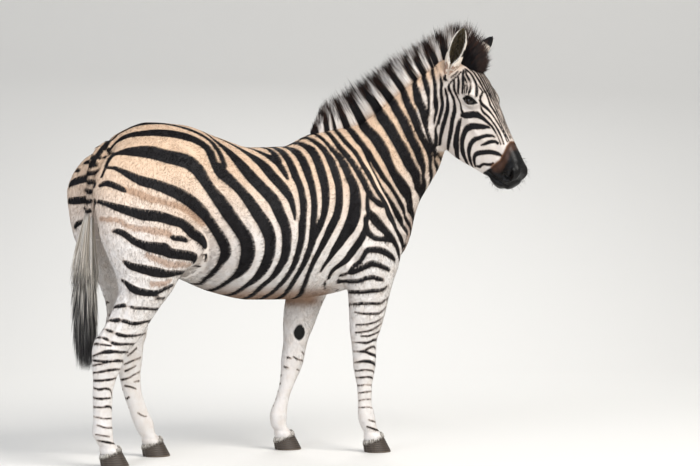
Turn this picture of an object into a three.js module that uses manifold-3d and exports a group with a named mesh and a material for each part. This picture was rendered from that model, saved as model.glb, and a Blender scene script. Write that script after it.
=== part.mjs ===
// A plains zebra, life size, standing square on its four hooves with the head turned to its right.
// Millimetres. +X runs from tail to chest, +Y to the animal's left, +Z up, and the soles stand at z = 0.
// The flesh is one smooth body, blended from profiled limbs and a few muscles, and parted by thin cuts.
import * as THREE from "three";
import { mergeVertices } from "three/addons/utils/BufferGeometryUtils.js";
import Module from "manifold-3d";

const wasm = await Module();
wasm.setup();

// ---------------------------------------------------------------- driving dimensions
const GAP = 0.3; // clear distance between neighbouring pieces
const SHORTEST_EDGE = 0.1;
const MIDDLE = [201.2, -78.3]; // x and y of the middle of the whole model's box, which becomes the origin
const NECK_CUT = 150; // along the neck, from the withers to the point of the chest
const ELBOW_CUT = 600; // height at which a foreleg leaves the trunk
const STIFLE_CUT = 672; // height at which a hind leg leaves the trunk
const FLANK = -230; // the thighs are behind this
const KNEE_CUT = 352; // under the knee
const HOCK_CUT = 418; // under the hock
const TAIL_CUT = 882; // where the dock ends and the long hair begins
const EYE_RADIUS = 22;
const EAR_WALL = 6;
const MANE_THICK = 27; // half the mane's thickness at the skin
const HOOF_LENGTH = 108;
const HOOF_WIDTH = 92;
const CORONET_HEIGHT = 52; // of the hoof's upper edge, at its middle
const CORONET_SLOPE = 0.4; // the upper edge falls by this towards the heel
const TOE_LEAN = 22; // the hoof's upper edge lies this far behind its sole

// ---------------------------------------------------------------- profiles
// A profile is a table of cross-sections along one axis. Each column is interpolated by a cubic
// whose slope at a row is the harmonic mean of its neighbours' slopes, so that nothing overshoots.
function column(rows, key, fallback) {
  const at = rows.map((r) => r.at);
  const value = rows.map((r) => r[key] ?? fallback);
  const last = at.length - 1;
  const secant = [];
  for (let i = 0; i < last; i++) secant.push((value[i + 1] - value[i]) / (at[i + 1] - at[i]));
  const slope = value.map((_, i) => {
    if (i === 0 || i === last) return 0;
    const [a, b] = [secant[i - 1], secant[i]];
    return a * b > 0 ? (2 * a * b) / (a + b) : 0;
  });
  return (t) => {
    if (t <= at[0]) return value[0];
    if (t >= at[last]) return value[last];
    let i = 0;
    while (t > at[i + 1]) i++;
    const step = at[i + 1] - at[i];
    const s = (t - at[i]) / step;
    const rise = value[i + 1] - value[i];
    const [a, b] = [slope[i] * step, slope[i + 1] * step];
    return value[i] + s * (a + s * (3 * rise - 2 * a - b + s * (a + b - 2 * rise)));
  };
}

// A limb's field: the distance to a tube whose sections are egg-shaped, measured in the section's plane.
// frame gives its origin and its along, up and side directions. top and bottom are the outline in the
// up direction, side is the middle's place and half the half width. swell is where it is widest, and
// square is the power of the section's curve: 2 is an ellipse, more is boxier.
function limb(frame, rows, { swell = 0.5, cap = 0.6, square = 2 } = {}) {
  const [top, bottom] = [column(rows, "top"), column(rows, "bottom")];
  const [side, half] = [column(rows, "side", 0), column(rows, "half")];
  const widest = column(rows, "swell", swell);
  const [first, last] = [rows[0].at, rows[rows.length - 1].at];
  return (x, y, z) => {
    const [dx, dy, dz] = [x - frame.origin.x, y - frame.origin.y, z - frame.origin.z];
    const t = dx * frame.along.x + dy * frame.along.y + dz * frame.along.z;
    const v = dx * frame.up.x + dy * frame.up.y + dz * frame.up.z;
    const w = dx * frame.side.x + dy * frame.side.y + dz * frame.side.z;
    const [hi, lo, mid] = [top(t), bottom(t), widest(t)];
    const centre = lo + (hi - lo) * mid;
    const height = v > centre ? hi - centre : centre - lo;
    const width = half(t);
    const past = Math.max(first - t, t - last, 0);
    const [a, b, c] = [(v - centre) / height, (w - side(t)) / width, past / (cap * width)];
    const sum = Math.abs(a) ** square + Math.abs(b) ** square;
    const k = Math.sqrt(sum ** (2 / square) + c * c);
    const reach = Math.hypot(v - centre, w - side(t), past);
    return k < 1e-6 ? -Math.min(height, width) : reach * (1 - 1 / k);
  };
}

// A muscle or a bony knob: the distance to an ellipsoid, to first order.
function knob(frame, at, radii) {
  const centre = frame.origin
    .clone()
    .addScaledVector(frame.along, at[0])
    .addScaledVector(frame.side, at[1])
    .addScaledVector(frame.up, at[2]);
  return (x, y, z) => {
    const [dx, dy, dz] = [x - centre.x, y - centre.y, z - centre.z];
    const a = (dx * frame.along.x + dy * frame.along.y + dz * frame.along.z) / radii[0];
    const b = (dx * frame.side.x + dy * frame.side.y + dz * frame.side.z) / radii[1];
    const c = (dx * frame.up.x + dy * frame.up.y + dz * frame.up.z) / radii[2];
    const k = Math.hypot(a, b, c);
    return (k * (k - 1)) / Math.max(Math.hypot(a / radii[0], b / radii[1], c / radii[2]), 1e-6);
  };
}

// The smooth union of two fields: the seam is filled over a band of the given width.
const blend = (a, b, width) => {
  const h = Math.max(width - Math.abs(a - b), 0) / width;
  return Math.min(a, b) - (h * h * width) / 4;
};

// ---------------------------------------------------------------- frames
const vec = (x, y, z) => new THREE.Vector3(x, y, z);
const turn = (degrees) => THREE.MathUtils.degToRad(degrees);

const LENGTHWISE = { origin: vec(0, 0, 0), along: vec(1, 0, 0), up: vec(0, 0, 1), side: vec(0, 1, 0) };
// Legs are cut level: along is height, up is forward.
const UPRIGHT = { origin: vec(0, 0, 0), along: vec(0, 0, 1), up: vec(1, 0, 0), side: vec(0, 1, 0) };

const NECK_RISE = turn(49);
const NECK = {
  origin: vec(470, 0, 1000),
  along: vec(Math.cos(NECK_RISE), 0, Math.sin(NECK_RISE)),
  up: vec(-Math.sin(NECK_RISE), 0, Math.cos(NECK_RISE)),
  side: vec(0, 1, 0),
};

const HEAD_YAW = turn(-59); // the way the face points, seen from above
const HEAD_PITCH = turn(60); // how far the face points below the horizon
const POLL = vec(925, -205, 1572);
const HEAD = (() => {
  const along = vec(
    Math.cos(HEAD_PITCH) * Math.cos(HEAD_YAW),
    Math.cos(HEAD_PITCH) * Math.sin(HEAD_YAW),
    -Math.sin(HEAD_PITCH),
  );
  const side = vec(-Math.sin(HEAD_YAW), Math.cos(HEAD_YAW), 0);
  return { origin: POLL, along, side, up: along.clone().cross(side) };
})();

// ---------------------------------------------------------------- trunk and neck
const trunk = limb(
  LENGTHWISE,
  [
    { at: -585, top: 1186, bottom: 1090, half: 34 },
    { at: -556, top: 1215, bottom: 985, half: 84 },
    { at: -500, top: 1266, bottom: 850, half: 178 },
    { at: -380, top: 1306, bottom: 755, half: 226 },
    { at: -250, top: 1297, bottom: 697, half: 252 },
    { at: -104, top: 1251, bottom: 640, half: 270 },
    { at: 43, top: 1212, bottom: 611, half: 274 },
    { at: 194, top: 1217, bottom: 609, half: 250 },
    { at: 321, top: 1261, bottom: 617, half: 208 },
    { at: 400, top: 1268, bottom: 628, half: 186 },
    { at: 480, top: 1235, bottom: 648, half: 172 },
    { at: 560, top: 1170, bottom: 690, half: 158 },
    { at: 640, top: 1060, bottom: 760, half: 120 },
  ],
  { swell: 0.46 },
);

const neck = limb(NECK, [
  { at: -60, top: 240, bottom: -250, half: 140 },
  { at: 0, top: 240, bottom: -290, half: 150 },
  { at: 60, top: 230, bottom: -280, half: 148 },
  { at: 125, top: 216, bottom: -262, half: 140 },
  { at: 205, top: 193, bottom: -250, half: 126 },
  { at: 280, top: 165, bottom: -238, side: -8, half: 112 },
  { at: 352, top: 151, bottom: -222, side: -22, half: 102 },
  { at: 389, top: 146, bottom: -206, side: -30, half: 98 },
  { at: 472, top: 135, bottom: -150, side: -52, half: 90 },
  { at: 535, top: 127, bottom: -112, side: -74, half: 84 },
  { at: 618, top: 109, bottom: -80, side: -102, half: 78 },
  { at: 667, top: 90, bottom: -66, side: -115, half: 70 },
  { at: 700, top: 66, bottom: -50, side: -122, half: 58 },
]);

// ---------------------------------------------------------------- legs
// The sections of a leg are shared by both sides. deep is half its depth fore and aft, wide half its
// width across, out the distance of its middle from the body's middle.
const FORE_SECTIONS = [
  { at: 20, deep: 43, wide: 42, out: 124 },
  { at: 62, deep: 40, wide: 38, out: 124 },
  { at: 78, deep: 35, wide: 33, out: 124 },
  { at: 103, deep: 34, wide: 32, out: 124 },
  { at: 137, deep: 37, wide: 33, out: 124 },
  { at: 158, deep: 35.5, wide: 31, out: 125 },
  { at: 202, deep: 30.5, wide: 26, out: 126 },
  { at: 260, deep: 33, wide: 27, out: 127 },
  { at: 318, deep: 43, wide: 37, out: 128 },
  { at: 352, deep: 48, wide: 43, out: 129 },
  { at: 389, deep: 50, wide: 44, out: 130 },
  { at: 435, deep: 53, wide: 45, out: 131 },
  { at: 493, deep: 66, wide: 53, out: 132 },
  { at: 551, deep: 76, wide: 60, out: 133 },
  { at: 620, deep: 87, wide: 66, out: 135 },
  { at: 680, deep: 99, wide: 74, out: 137 },
  { at: 750, deep: 116, wide: 80, out: 138 },
  { at: 850, deep: 125, wide: 70, out: 136 },
  { at: 950, deep: 95, wide: 52, out: 128 },
];
const HIND_SECTIONS = [
  { at: 20, deep: 43, wide: 42, out: 132 },
  { at: 60, deep: 42, wide: 39, out: 132 },
  { at: 72, deep: 38, wide: 34, out: 132 },
  { at: 95, deep: 36, wide: 32, out: 132 },
  { at: 131, deep: 42, wide: 35, out: 133 },
  { at: 184, deep: 39, wide: 28, out: 134 },
  { at: 270, deep: 41, wide: 29, out: 136 },
  { at: 323, deep: 46, wide: 32, out: 138 },
  { at: 364, deep: 56, wide: 38, out: 139 },
  { at: 436, deep: 72, wide: 43, out: 141 },
  { at: 477, deep: 90, wide: 42, out: 142 },
  { at: 512, deep: 88, wide: 42, out: 143 },
  { at: 555, deep: 88, wide: 47, out: 144 },
  { at: 601, deep: 94, wide: 56, out: 145 },
  { at: 667, deep: 110, wide: 70, out: 147 },
  { at: 718, deep: 129, wide: 80, out: 148 },
  { at: 797, deep: 184, wide: 96, out: 148 },
  { at: 870, deep: 205, wide: 104, out: 145 },
  { at: 950, deep: 208, wide: 106, out: 142 },
  { at: 1040, deep: 212, wide: 100, out: 136 },
  { at: 1100, deep: 200, wide: 90, out: 124 },
  { at: 1160, deep: 168, wide: 74, out: 108 },
  { at: 1210, deep: 120, wide: 56, out: 92 },
];

// Where the middle of each leg lies fore and aft at a given height: this is the stance.
const STANCE = {
  right_fore: [
    [62, 526], [103, 507], [137, 498], [202, 488], [318, 485], [389, 484],
    [435, 482], [551, 495], [680, 506], [850, 522], [950, 470],
  ],
  left_fore: [
    [62, 250], [103, 228], [137, 227], [194, 242], [318, 284], [394, 299],
    [487, 319], [599, 350], [680, 395], [850, 500], [950, 470],
  ],
  right_hind: [
    [60, -598], [95, -617], [131, -628], [270, -629], [364, -615], [436, -602],
    [477, -575], [512, -550], [555, -520], [601, -493], [667, -458], [718, -448],
    [797, -427], [870, -435], [950, -445], [1040, -452], [1160, -440], [1210, -430],
  ],
  left_hind: [
    [60, -318], [95, -340], [131, -352], [184, -374], [270, -401], [364, -412],
    [436, -420], [477, -424], [512, -416], [555, -412], [601, -410], [667, -415],
    [718, -422], [797, -417], [870, -430], [950, -445], [1040, -452], [1160, -440], [1210, -430],
  ],
};

function leg(name, sections) {
  const middle = column(STANCE[name].map(([at, x]) => ({ at, x })), "x");
  const out = name.startsWith("left") ? 1 : -1;
  const rows = sections.map(({ at, deep, wide, out: away }) => ({
    at,
    top: middle(at) + deep,
    bottom: middle(at) - deep,
    side: out * away,
    half: wide,
  }));
  return limb(UPRIGHT, rows, { cap: 0.3 });
}
const legs = [
  ["left_fore", FORE_SECTIONS],
  ["right_fore", FORE_SECTIONS],
  ["left_hind", HIND_SECTIONS],
  ["right_hind", HIND_SECTIONS],
].map(([name, sections]) => leg(name, sections));

// The shoulder blade slopes forward and down under the skin.
const BLADE_SLOPE = turn(-58);
const BLADE = {
  origin: vec(0, 0, 0),
  along: vec(Math.cos(BLADE_SLOPE), 0, Math.sin(BLADE_SLOPE)),
  up: vec(-Math.sin(BLADE_SLOPE), 0, Math.cos(BLADE_SLOPE)),
  side: vec(0, 1, 0),
};
const blades = [1, -1].map((s) => knob({ ...BLADE, origin: vec(500, s * 122, 1000) }, [0, 0, 0], [215, 62, 105]));

// ---------------------------------------------------------------- head
const skull = limb(
  HEAD,
  [
    { at: -30, top: -96, bottom: -150, half: 44 },
    { at: 0, top: -52, bottom: -200, half: 60 },
    { at: 35, top: -14, bottom: -238, half: 70 },
    { at: 78, top: 12, bottom: -264, half: 77 },
    { at: 120, top: 18, bottom: -276, half: 81 },
    { at: 166, top: 16, bottom: -283, half: 82 },
    { at: 210, top: 12, bottom: -285, half: 78 },
    { at: 260, top: 8, bottom: -278, half: 70 },
    { at: 305, top: 4, bottom: -262, half: 61 },
    { at: 348, top: 2, bottom: -238, half: 54 },
    { at: 384, top: 1, bottom: -213, half: 50 },
    { at: 431, top: 0, bottom: -184, half: 47 },
    { at: 465, top: -2, bottom: -166, half: 47 },
    { at: 495, top: -8, bottom: -153, half: 46 },
    { at: 520, top: -26, bottom: -142, half: 40 },
    { at: 536, top: -52, bottom: -124, half: 28 },
  ],
  { swell: 0.66, cap: 0.5, square: 2.5 },
);
const EYE = [172, 74, -51]; // along, aside and up, in the head's frame
const knobs = [1, -1].flatMap((s) => [
  knob(HEAD, [160, s * 66, -32], [52, 34, 34]), // brow and orbit
  knob(HEAD, [215, s * 40, -185], [88, 32, 88]), // jaw muscle
  knob(HEAD, [500, s * 32, -48], [34, 20, 34]), // nostril
]);
const chin = knob(HEAD, [488, 0, -132], [38, 34, 26]);

// ---------------------------------------------------------------- the whole body as one field
function body(x, y, z) {
  let d = blend(trunk(x, y, z), neck(x, y, z), 120);
  for (const f of blades) d = blend(d, f(x, y, z), 60);
  legs.forEach((f, i) => (d = blend(d, f(x, y, z), i < 2 ? 50 : 60)));
  let h = skull(x, y, z);
  for (const f of knobs) h = blend(h, f(x, y, z), 22);
  h = blend(h, chin(x, y, z), 22);
  return blend(d, h, 55);
}

// ---------------------------------------------------------------- from fields to solids
// A closed triangle mesh as a manifold-3d solid.
function solid(geometry) {
  const bare = geometry.clone();
  for (const name of Object.keys(bare.attributes)) if (name !== "position") bare.deleteAttribute(name);
  const merged = mergeVertices(bare, 1e-3);
  return new wasm.Manifold(
    new wasm.Mesh({
      numProp: 3,
      vertProperties: new Float32Array(merged.attributes.position.array),
      triVerts: new Uint32Array(merged.index.array),
    }),
  );
}

// Samples a field on a grid and returns its zero surface as a solid. One vertex lies in each cell that
// the surface crosses, moved onto the surface along the field's slope, and one quad spans each grid
// edge that it crosses. low and high are corners in the frame, cell the three spacings.
function polygonise(field, frame, low, high, cell, offset = 0) {
  const count = [0, 1, 2].map((i) => Math.ceil((high[i] - low[i]) / cell[i]) + 1);
  const [nx, ny, nz] = count;
  const place = (a, b, c) =>
    frame.origin
      .clone()
      .addScaledVector(frame.along, low[0] + a * cell[0])
      .addScaledVector(frame.side, low[1] + b * cell[1])
      .addScaledVector(frame.up, low[2] + c * cell[2]);
  const at = (a, b, c) => a + nx * (b + ny * c);
  const value = new Float64Array(nx * ny * nz);
  for (let c = 0; c < nz; c++)
    for (let b = 0; b < ny; b++)
      for (let a = 0; a < nx; a++) {
        const edge = a * b * c === 0 || a === nx - 1 || b === ny - 1 || c === nz - 1;
        const p = place(a, b, c);
        value[at(a, b, c)] = edge ? 1e3 : field(p.x, p.y, p.z) - offset;
      }

  const vertices = [];
  const vertexOf = new Int32Array(value.length).fill(-1);
  const corners = [0, 1, 2, 3, 4, 5, 6, 7].map((i) => [i & 1, (i >> 1) & 1, i >> 2]);
  const ribs = corners.flatMap((p, i) =>
    [1, 2, 4].filter((bit) => !(i & bit)).map((bit) => [i, i | bit]),
  );
  for (let c = 0; c < nz - 1; c++)
    for (let b = 0; b < ny - 1; b++)
      for (let a = 0; a < nx - 1; a++) {
        const v = corners.map((q) => value[at(a + q[0], b + q[1], c + q[2])]);
        const sum = [0, 0, 0];
        let crossings = 0;
        for (const [i, j] of ribs) {
          if (v[i] < 0 === v[j] < 0) continue;
          const s = v[i] / (v[i] - v[j]);
          crossings++;
          for (const k of [0, 1, 2]) sum[k] += corners[i][k] + s * (corners[j][k] - corners[i][k]);
        }
        if (!crossings) continue;
        vertexOf[at(a, b, c)] = vertices.length;
        const inside = [a, b, c].every((q, k) => q > 0 && q < count[k] - 2);
        const p = place(a + sum[0] / crossings, b + sum[1] / crossings, c + sum[2] / crossings);
        vertices.push(inside ? settle(field, p, offset) : p);
      }

  const index = [];
  const strides = [
    [1, nx, nx * ny],
    [nx, nx * ny, 1],
    [nx * ny, 1, nx],
  ];
  for (let i = 0; i < value.length; i++)
    for (const [step, s, t] of strides) {
      const j = i + step;
      if (j >= value.length || value[i] < 0 === value[j] < 0) continue;
      const quad = [vertexOf[i], vertexOf[i - s], vertexOf[i - s - t], vertexOf[i - t]];
      if (quad.some((q) => !(q >= 0))) continue;
      if (value[i] < 0) quad.reverse();
      const [p, q, r, u] = quad;
      const shortFirst = vertices[p].distanceTo(vertices[r]) < vertices[q].distanceTo(vertices[u]);
      index.push(...(shortFirst ? [p, r, q, p, u, r] : [p, u, q, q, u, r]));
    }
  const geometry = new THREE.BufferGeometry();
  geometry.setAttribute("position", new THREE.Float32BufferAttribute(vertices.flatMap((p) => [p.x, p.y, p.z]), 3));
  geometry.setIndex(index);
  return solid(geometry);
}

// Moves a point onto the field's surface by two Newton steps along its slope.
function settle(field, start, offset) {
  const p = start.clone();
  const e = 1;
  for (let i = 0; i < 2; i++) {
    const d = field(p.x, p.y, p.z) - offset;
    const g = vec(
      field(p.x + e, p.y, p.z) - field(p.x - e, p.y, p.z),
      field(p.x, p.y + e, p.z) - field(p.x, p.y - e, p.z),
      field(p.x, p.y, p.z + e) - field(p.x, p.y, p.z - e),
    ).divideScalar(2 * e);
    const step = (d * g.length()) / Math.max(g.lengthSq(), 0.05);
    p.addScaledVector(g.normalize(), -THREE.MathUtils.clamp(step, -12, 12));
  }
  return p;
}

// A closed loft: neighbouring rings are joined by strips, and each end is a fan from its middle.
function loft(rings) {
  const count = rings[0].length;
  const points = rings.flat();
  const index = [];
  for (let i = 0; i + 1 < rings.length; i++)
    for (let j = 0; j < count; j++) {
      const [a, b] = [i * count + j, i * count + ((j + 1) % count)];
      index.push(a, b, b + count, a, b + count, a + count);
    }
  for (const i of [0, rings.length - 1]) {
    const middle = points.length;
    points.push(rings[i].reduce((sum, p) => sum.add(p), vec(0, 0, 0)).divideScalar(count));
    for (let j = 0; j < count; j++) {
      const rim = [i * count + j, i * count + ((j + 1) % count)];
      index.push(middle, ...(i === 0 ? rim.reverse() : rim));
    }
  }
  const geometry = new THREE.BufferGeometry();
  geometry.setAttribute("position", new THREE.Float32BufferAttribute(points.flatMap((p) => [p.x, p.y, p.z]), 3));
  geometry.setIndex(index);
  const made = solid(geometry);
  if (made.volume() > 0) return made;
  geometry.setIndex(index.reverse());
  return solid(geometry);
}

// Rings around a path in the middle plane. rows hold x and z, wide (half, across) and deep (half, along
// the path's outer side). grow widens every ring and lengthens both ends.
function tube(rows, count, grow = 0) {
  const path = rows.map(({ x, z }) => vec(x, 0, z));
  const rings = path.map((p, i) => {
    const [before, after] = [path[Math.max(i - 1, 0)], path[Math.min(i + 1, path.length - 1)]];
    const heading = after.clone().sub(before).normalize();
    const outward = vec(-heading.z, 0, heading.x);
    const end = i === 0 ? -grow : i === path.length - 1 ? grow : 0;
    return Array.from({ length: count }, (_, j) => {
      const angle = (2 * Math.PI * j) / count;
      return p
        .clone()
        .addScaledVector(heading, end)
        .addScaledVector(vec(0, 1, 0), (rows[i].wide + grow) * Math.cos(angle))
        .addScaledVector(outward, (rows[i].deep + grow) * Math.sin(angle));
    });
  });
  return loft(rings);
}

// The one real body among a cut's crumbs, without edges too short to keep.
const largest = (s) => s.decompose().sort((a, b) => b.volume() - a.volume())[0].simplify(SHORTEST_EDGE);
const beyond = (s, normal, d) => s.trimByPlane(normal.toArray(), d + GAP / 2);
const before = (s, normal, d) => s.trimByPlane(normal.clone().negate().toArray(), GAP / 2 - d);
const above = (s, z) => beyond(s, vec(0, 0, 1), z);
const below = (s, z) => before(s, vec(0, 0, 1), z);
const box = (low, high) =>
  wasm.Manifold.cube([0, 1, 2].map((i) => high[i] - low[i])).translate(low);

// ---------------------------------------------------------------- mane and forelock
const onHead = (along, side, up) =>
  HEAD.origin
    .clone()
    .addScaledVector(HEAD.along, along)
    .addScaledVector(HEAD.side, side)
    .addScaledVector(HEAD.up, up);

// The upright hair, station by station: where it leaves the skin and where its tips are.
const CREST = [
  { root: vec(318, 0, 1262), tips: vec(315, 0, 1278), thick: 0.4 },
  { root: vec(345, 0, 1262), tips: vec(341, 0, 1345), thick: 0.8 },
  { root: vec(392, 0, 1263), tips: vec(366, 0, 1402) },
  { root: vec(459, 0, 1279), tips: vec(394, -1, 1421) },
  { root: vec(529, -8, 1318), tips: vec(440, -8, 1456) },
  { root: vec(615, -30, 1387), tips: vec(513, -32, 1506) },
  { root: vec(678, -52, 1443), tips: vec(583, -54, 1554) },
  { root: vec(725, -74, 1485), tips: vec(640, -76, 1595) },
  { root: vec(793, -102, 1536), tips: vec(730, -104, 1649) },
  { root: vec(840, -115, 1560), tips: vec(803, -117, 1680), thick: 0.9 },
  { root: vec(880, -133, 1575), tips: vec(880, -132, 1708), thick: 0.85 },
  { root: onHead(-24, 0, -34), tips: onHead(-116, 0, 55), thick: 0.85 },
  { root: onHead(-4, 0, -24), tips: onHead(-65, 0, 77), thick: 0.95 },
  { root: onHead(16, 0, -18), tips: onHead(-19, 0, 93), thick: 1.1 },
  { root: onHead(38, 0, -7), tips: onHead(32, 0, 79), thick: 1.15 },
  { root: onHead(56, 0, 3), tips: onHead(62, 0, 54), thick: 1.05 },
  { root: onHead(70, 0, 9), tips: onHead(76, 0, 22), thick: 0.7 },
];
const POLL_STATION = 11; // the mane ends and the forelock begins here
const MANE_SECTION = [
  [-1, -0.14], [-1, 0.1], [-0.84, 0.55], [-0.4, 0.97], [0.4, 0.97], [0.84, 0.55], [1, 0.1], [1, -0.14],
];

function crest(grow = 0) {
  const last = CREST.length - 1;
  return loft(
    CREST.map(({ root, tips, thick = 1 }, i) => {
      const heading = CREST[Math.min(i + 1, last)].root.clone().sub(CREST[Math.max(i - 1, 0)].root).normalize();
      const rise = tips.clone().sub(root);
      const across = heading.clone().cross(rise).normalize();
      const end = i === 0 ? -grow : i === last ? grow : 0;
      const sink = Math.max(rise.length(), 110);
      return MANE_SECTION.map(([side, up]) =>
        root
          .clone()
          .addScaledVector(heading, end)
          .addScaledVector(across, side * MANE_THICK * thick + Math.sign(side) * grow)
          .addScaledVector(rise.clone().normalize(), up * (up < 0 ? sink : rise.length()) + Math.sign(up) * grow),
      );
    }),
  );
}

// ---------------------------------------------------------------- ears
// An ear is a leaf-shaped shell: a loft of ovals with a deep hollow cut from its open side.
const EARS = {
  ear_right: { foot: onHead(12, -60, -78), tip: onHead(-88, -91, 73), side: -1 },
  ear_left: { foot: onHead(12, 60, -78), tip: onHead(-58, 113, 78), side: 1 },
};
const EAR_PROFILE = [
  { at: 0, wide: 19, deep: 17 },
  { at: 0.16, wide: 27, deep: 23 },
  { at: 0.32, wide: 36, deep: 24 },
  { at: 0.5, wide: 40, deep: 21 },
  { at: 0.68, wide: 37, deep: 16 },
  { at: 0.84, wide: 26, deep: 11 },
  { at: 0.95, wide: 13, deep: 6 },
  { at: 1, wide: 3, deep: 2 },
];

function earLoft({ foot, tip, side }, rows, oval, sink = 0) {
  const rise = tip.clone().sub(foot);
  const up = rise.clone().normalize();
  const open = HEAD.side.clone().multiplyScalar(side).addScaledVector(HEAD.along, 0.42);
  open.addScaledVector(up, -open.dot(up)).normalize();
  const across = up.clone().cross(open);
  return loft(
    rows.map((row) => {
      const { wide, deep, shift } = oval(row);
      return Array.from({ length: 12 }, (_, j) => {
        const angle = (2 * Math.PI * j) / 12;
        return foot
          .clone()
          .addScaledVector(rise, row.at)
          .addScaledVector(up, row.at === 0 ? -sink : 0)
          .addScaledVector(across, wide * Math.cos(angle))
          .addScaledVector(open, shift + deep * Math.sin(angle));
      });
    }),
  );
}
const earBlank = (ear, grow = 0) => {
  const oval = ({ wide, deep }) => ({ wide: wide + grow, deep: deep + grow, shift: 0 });
  return earLoft(ear, EAR_PROFILE, oval, grow);
};
const earHollow = (ear) =>
  earLoft(ear, EAR_PROFILE.slice(1, -1), ({ wide, deep }) => ({
    wide: wide * 0.86,
    deep: 2.2 * deep - EAR_WALL,
    shift: 1.2 * deep,
  }));

// ---------------------------------------------------------------- tail
// Rings of the dock and of the long hair, from the croup down.
const TAIL = [
  { x: -552, z: 1216, wide: 24, deep: 18 },
  { x: -582, z: 1197, wide: 27, deep: 21 },
  { x: -606, z: 1156, wide: 27, deep: 22 },
  { x: -615, z: 1095, wide: 26, deep: 22 },
  { x: -619, z: 1030, wide: 25, deep: 21 },
  { x: -627, z: 955, wide: 25, deep: 21 },
  { x: -635, z: 885, wide: 28, deep: 23 },
  { x: -641, z: 820, wide: 38, deep: 28 },
  { x: -646, z: 740, wide: 47, deep: 32 },
  { x: -649, z: 650, wide: 49, deep: 33 },
  { x: -650, z: 550, wide: 42, deep: 28 },
  { x: -649, z: 460, wide: 31, deep: 21 },
  { x: -646, z: 390, wide: 18, deep: 13 },
  { x: -644, z: 350, wide: 6, deep: 5 },
];

// ---------------------------------------------------------------- the legs, one by one
const LEGS = [
  { name: "left_fore", side: 1, sections: FORE_SECTIONS, top: ELBOW_CUT, middle: KNEE_CUT, span: [180, 480] },
  { name: "right_fore", side: -1, sections: FORE_SECTIONS, top: ELBOW_CUT, middle: KNEE_CUT, span: [400, 630] },
  { name: "left_hind", side: 1, sections: HIND_SECTIONS, top: STIFLE_CUT, middle: HOCK_CUT, span: [-540, -270] },
  { name: "right_hind", side: -1, sections: HIND_SECTIONS, top: STIFLE_CUT, middle: HOCK_CUT, span: [-700, -320] },
];
const LEG_CELL = [26, 25, 54];
const LEG_REACH = [24, 244]; // the legs lie between these distances from the middle plane
const hoofPlace = ({ name, side, sections }) => [
  STANCE[name][0][1] + TOE_LEAN,
  side * sections[0].out,
];

// The upper edge of a hoof: a plane that falls from toe to heel.
const coronet = (x) => {
  const normal = vec(-CORONET_SLOPE, 0, 1).normalize();
  return { normal, d: normal.dot(vec(x - TOE_LEAN, 0, CORONET_HEIGHT)) };
};

// A hoof is a wall with a round toe and a squarer heel, wider at the sole than at its upper edge.
function hoof([x, y]) {
  const ring = (z, size, lean) =>
    Array.from({ length: 20 }, (_, j) => {
      const angle = (2 * Math.PI * j) / 20;
      const blunt = Math.cos(angle) < 0 ? 0.72 : 1;
      const px = Math.sign(Math.cos(angle)) * Math.abs(Math.cos(angle)) ** blunt * HOOF_LENGTH * 0.5 * size;
      return vec(x - lean + px, y + Math.sin(angle) * HOOF_WIDTH * 0.5 * size, z + (lean > 20 ? CORONET_SLOPE * px : 0));
    });
  return loft([ring(0, 0.97, 0), ring(4, 1, 1), ring(CORONET_HEIGHT - GAP / 2, 0.82, TOE_LEAN)]);
}

function legBlock({ side, span, top }) {
  const [inner, outer] = side > 0 ? LEG_REACH : LEG_REACH.map((y) => -y).reverse();
  return polygonise(body, LENGTHWISE, [span[0], inner, -70], [span[1], outer, top + 110], LEG_CELL);
}

// ---------------------------------------------------------------- the head, parted from the neck
// The parting runs from behind the ears to the angle of the jaw, then under the jaw.
const headRegion = (grow = 0) => {
  const outline = [[-60 - grow, 92 + grow], [90 - grow, -304 - grow], [640, -304 - grow], [640, 92 + grow]];
  const corners = outline.flatMap(([along, up]) => [-1, 1].map((s) => onHead(along, s * (150 + grow), up)));
  return wasm.Manifold.hull(corners.map((p) => p.toArray()));
};
const eyeBall = (side, grow = 0) =>
  wasm.Manifold.sphere(EYE_RADIUS + grow, 16).translate(onHead(EYE[0], side * EYE[1], EYE[2]).toArray());

// ---------------------------------------------------------------- every node's solid
const neckPlane = NECK.along.dot(NECK.origin) + NECK_CUT;
const pollPlane = (() => {
  const { root, tips } = CREST[POLL_STATION];
  const normal = HEAD.side.clone().cross(tips.clone().sub(root)).normalize();
  if (normal.dot(HEAD.along) < 0) normal.negate();
  return { normal, d: normal.dot(root) };
})();

const nodes = {};
const hair = crest();
const hairBed = crest(GAP);
const tail = tube(TAIL, 12);
const tailBed = tube(TAIL, 12, GAP);

const torso = polygonise(body, LENGTHWISE, [-740, -330, 520], [1110, 330, 1690], [78, 55, 55]);
const thighs = box([-900, -400, 400], [FLANK, 400, STIFLE_CUT + GAP / 2]);
nodes.trunk = largest(
  before(above(torso, ELBOW_CUT), NECK.along, neckPlane).subtract(thighs).subtract(hairBed).subtract(tailBed),
);
nodes.neck = largest(beyond(torso, NECK.along, neckPlane).subtract(headRegion(GAP)).subtract(hairBed));

let headSolid = polygonise(body, HEAD, [-110, -180, -340], [580, 180, 70], [28, 23, 25]).intersect(headRegion());
for (const side of [1, -1]) headSolid = headSolid.subtract(eyeBall(side, GAP));
for (const ear of Object.values(EARS)) headSolid = headSolid.subtract(earBlank(ear, 2 * GAP));
nodes.head = largest(headSolid.subtract(hairBed));
nodes.eye_left = eyeBall(1);
nodes.eye_right = eyeBall(-1);
for (const [name, ear] of Object.entries(EARS)) {
  nodes[name] = largest(earBlank(ear).subtract(earHollow(ear)));
  nodes.neck = largest(nodes.neck.subtract(earBlank(ear, 2 * GAP)));
}
nodes.mane = largest(before(hair, pollPlane.normal, pollPlane.d));
nodes.forelock = largest(beyond(hair, pollPlane.normal, pollPlane.d));
nodes.tail_dock = above(tail, TAIL_CUT);
nodes.tail_switch = below(tail, TAIL_CUT);

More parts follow.
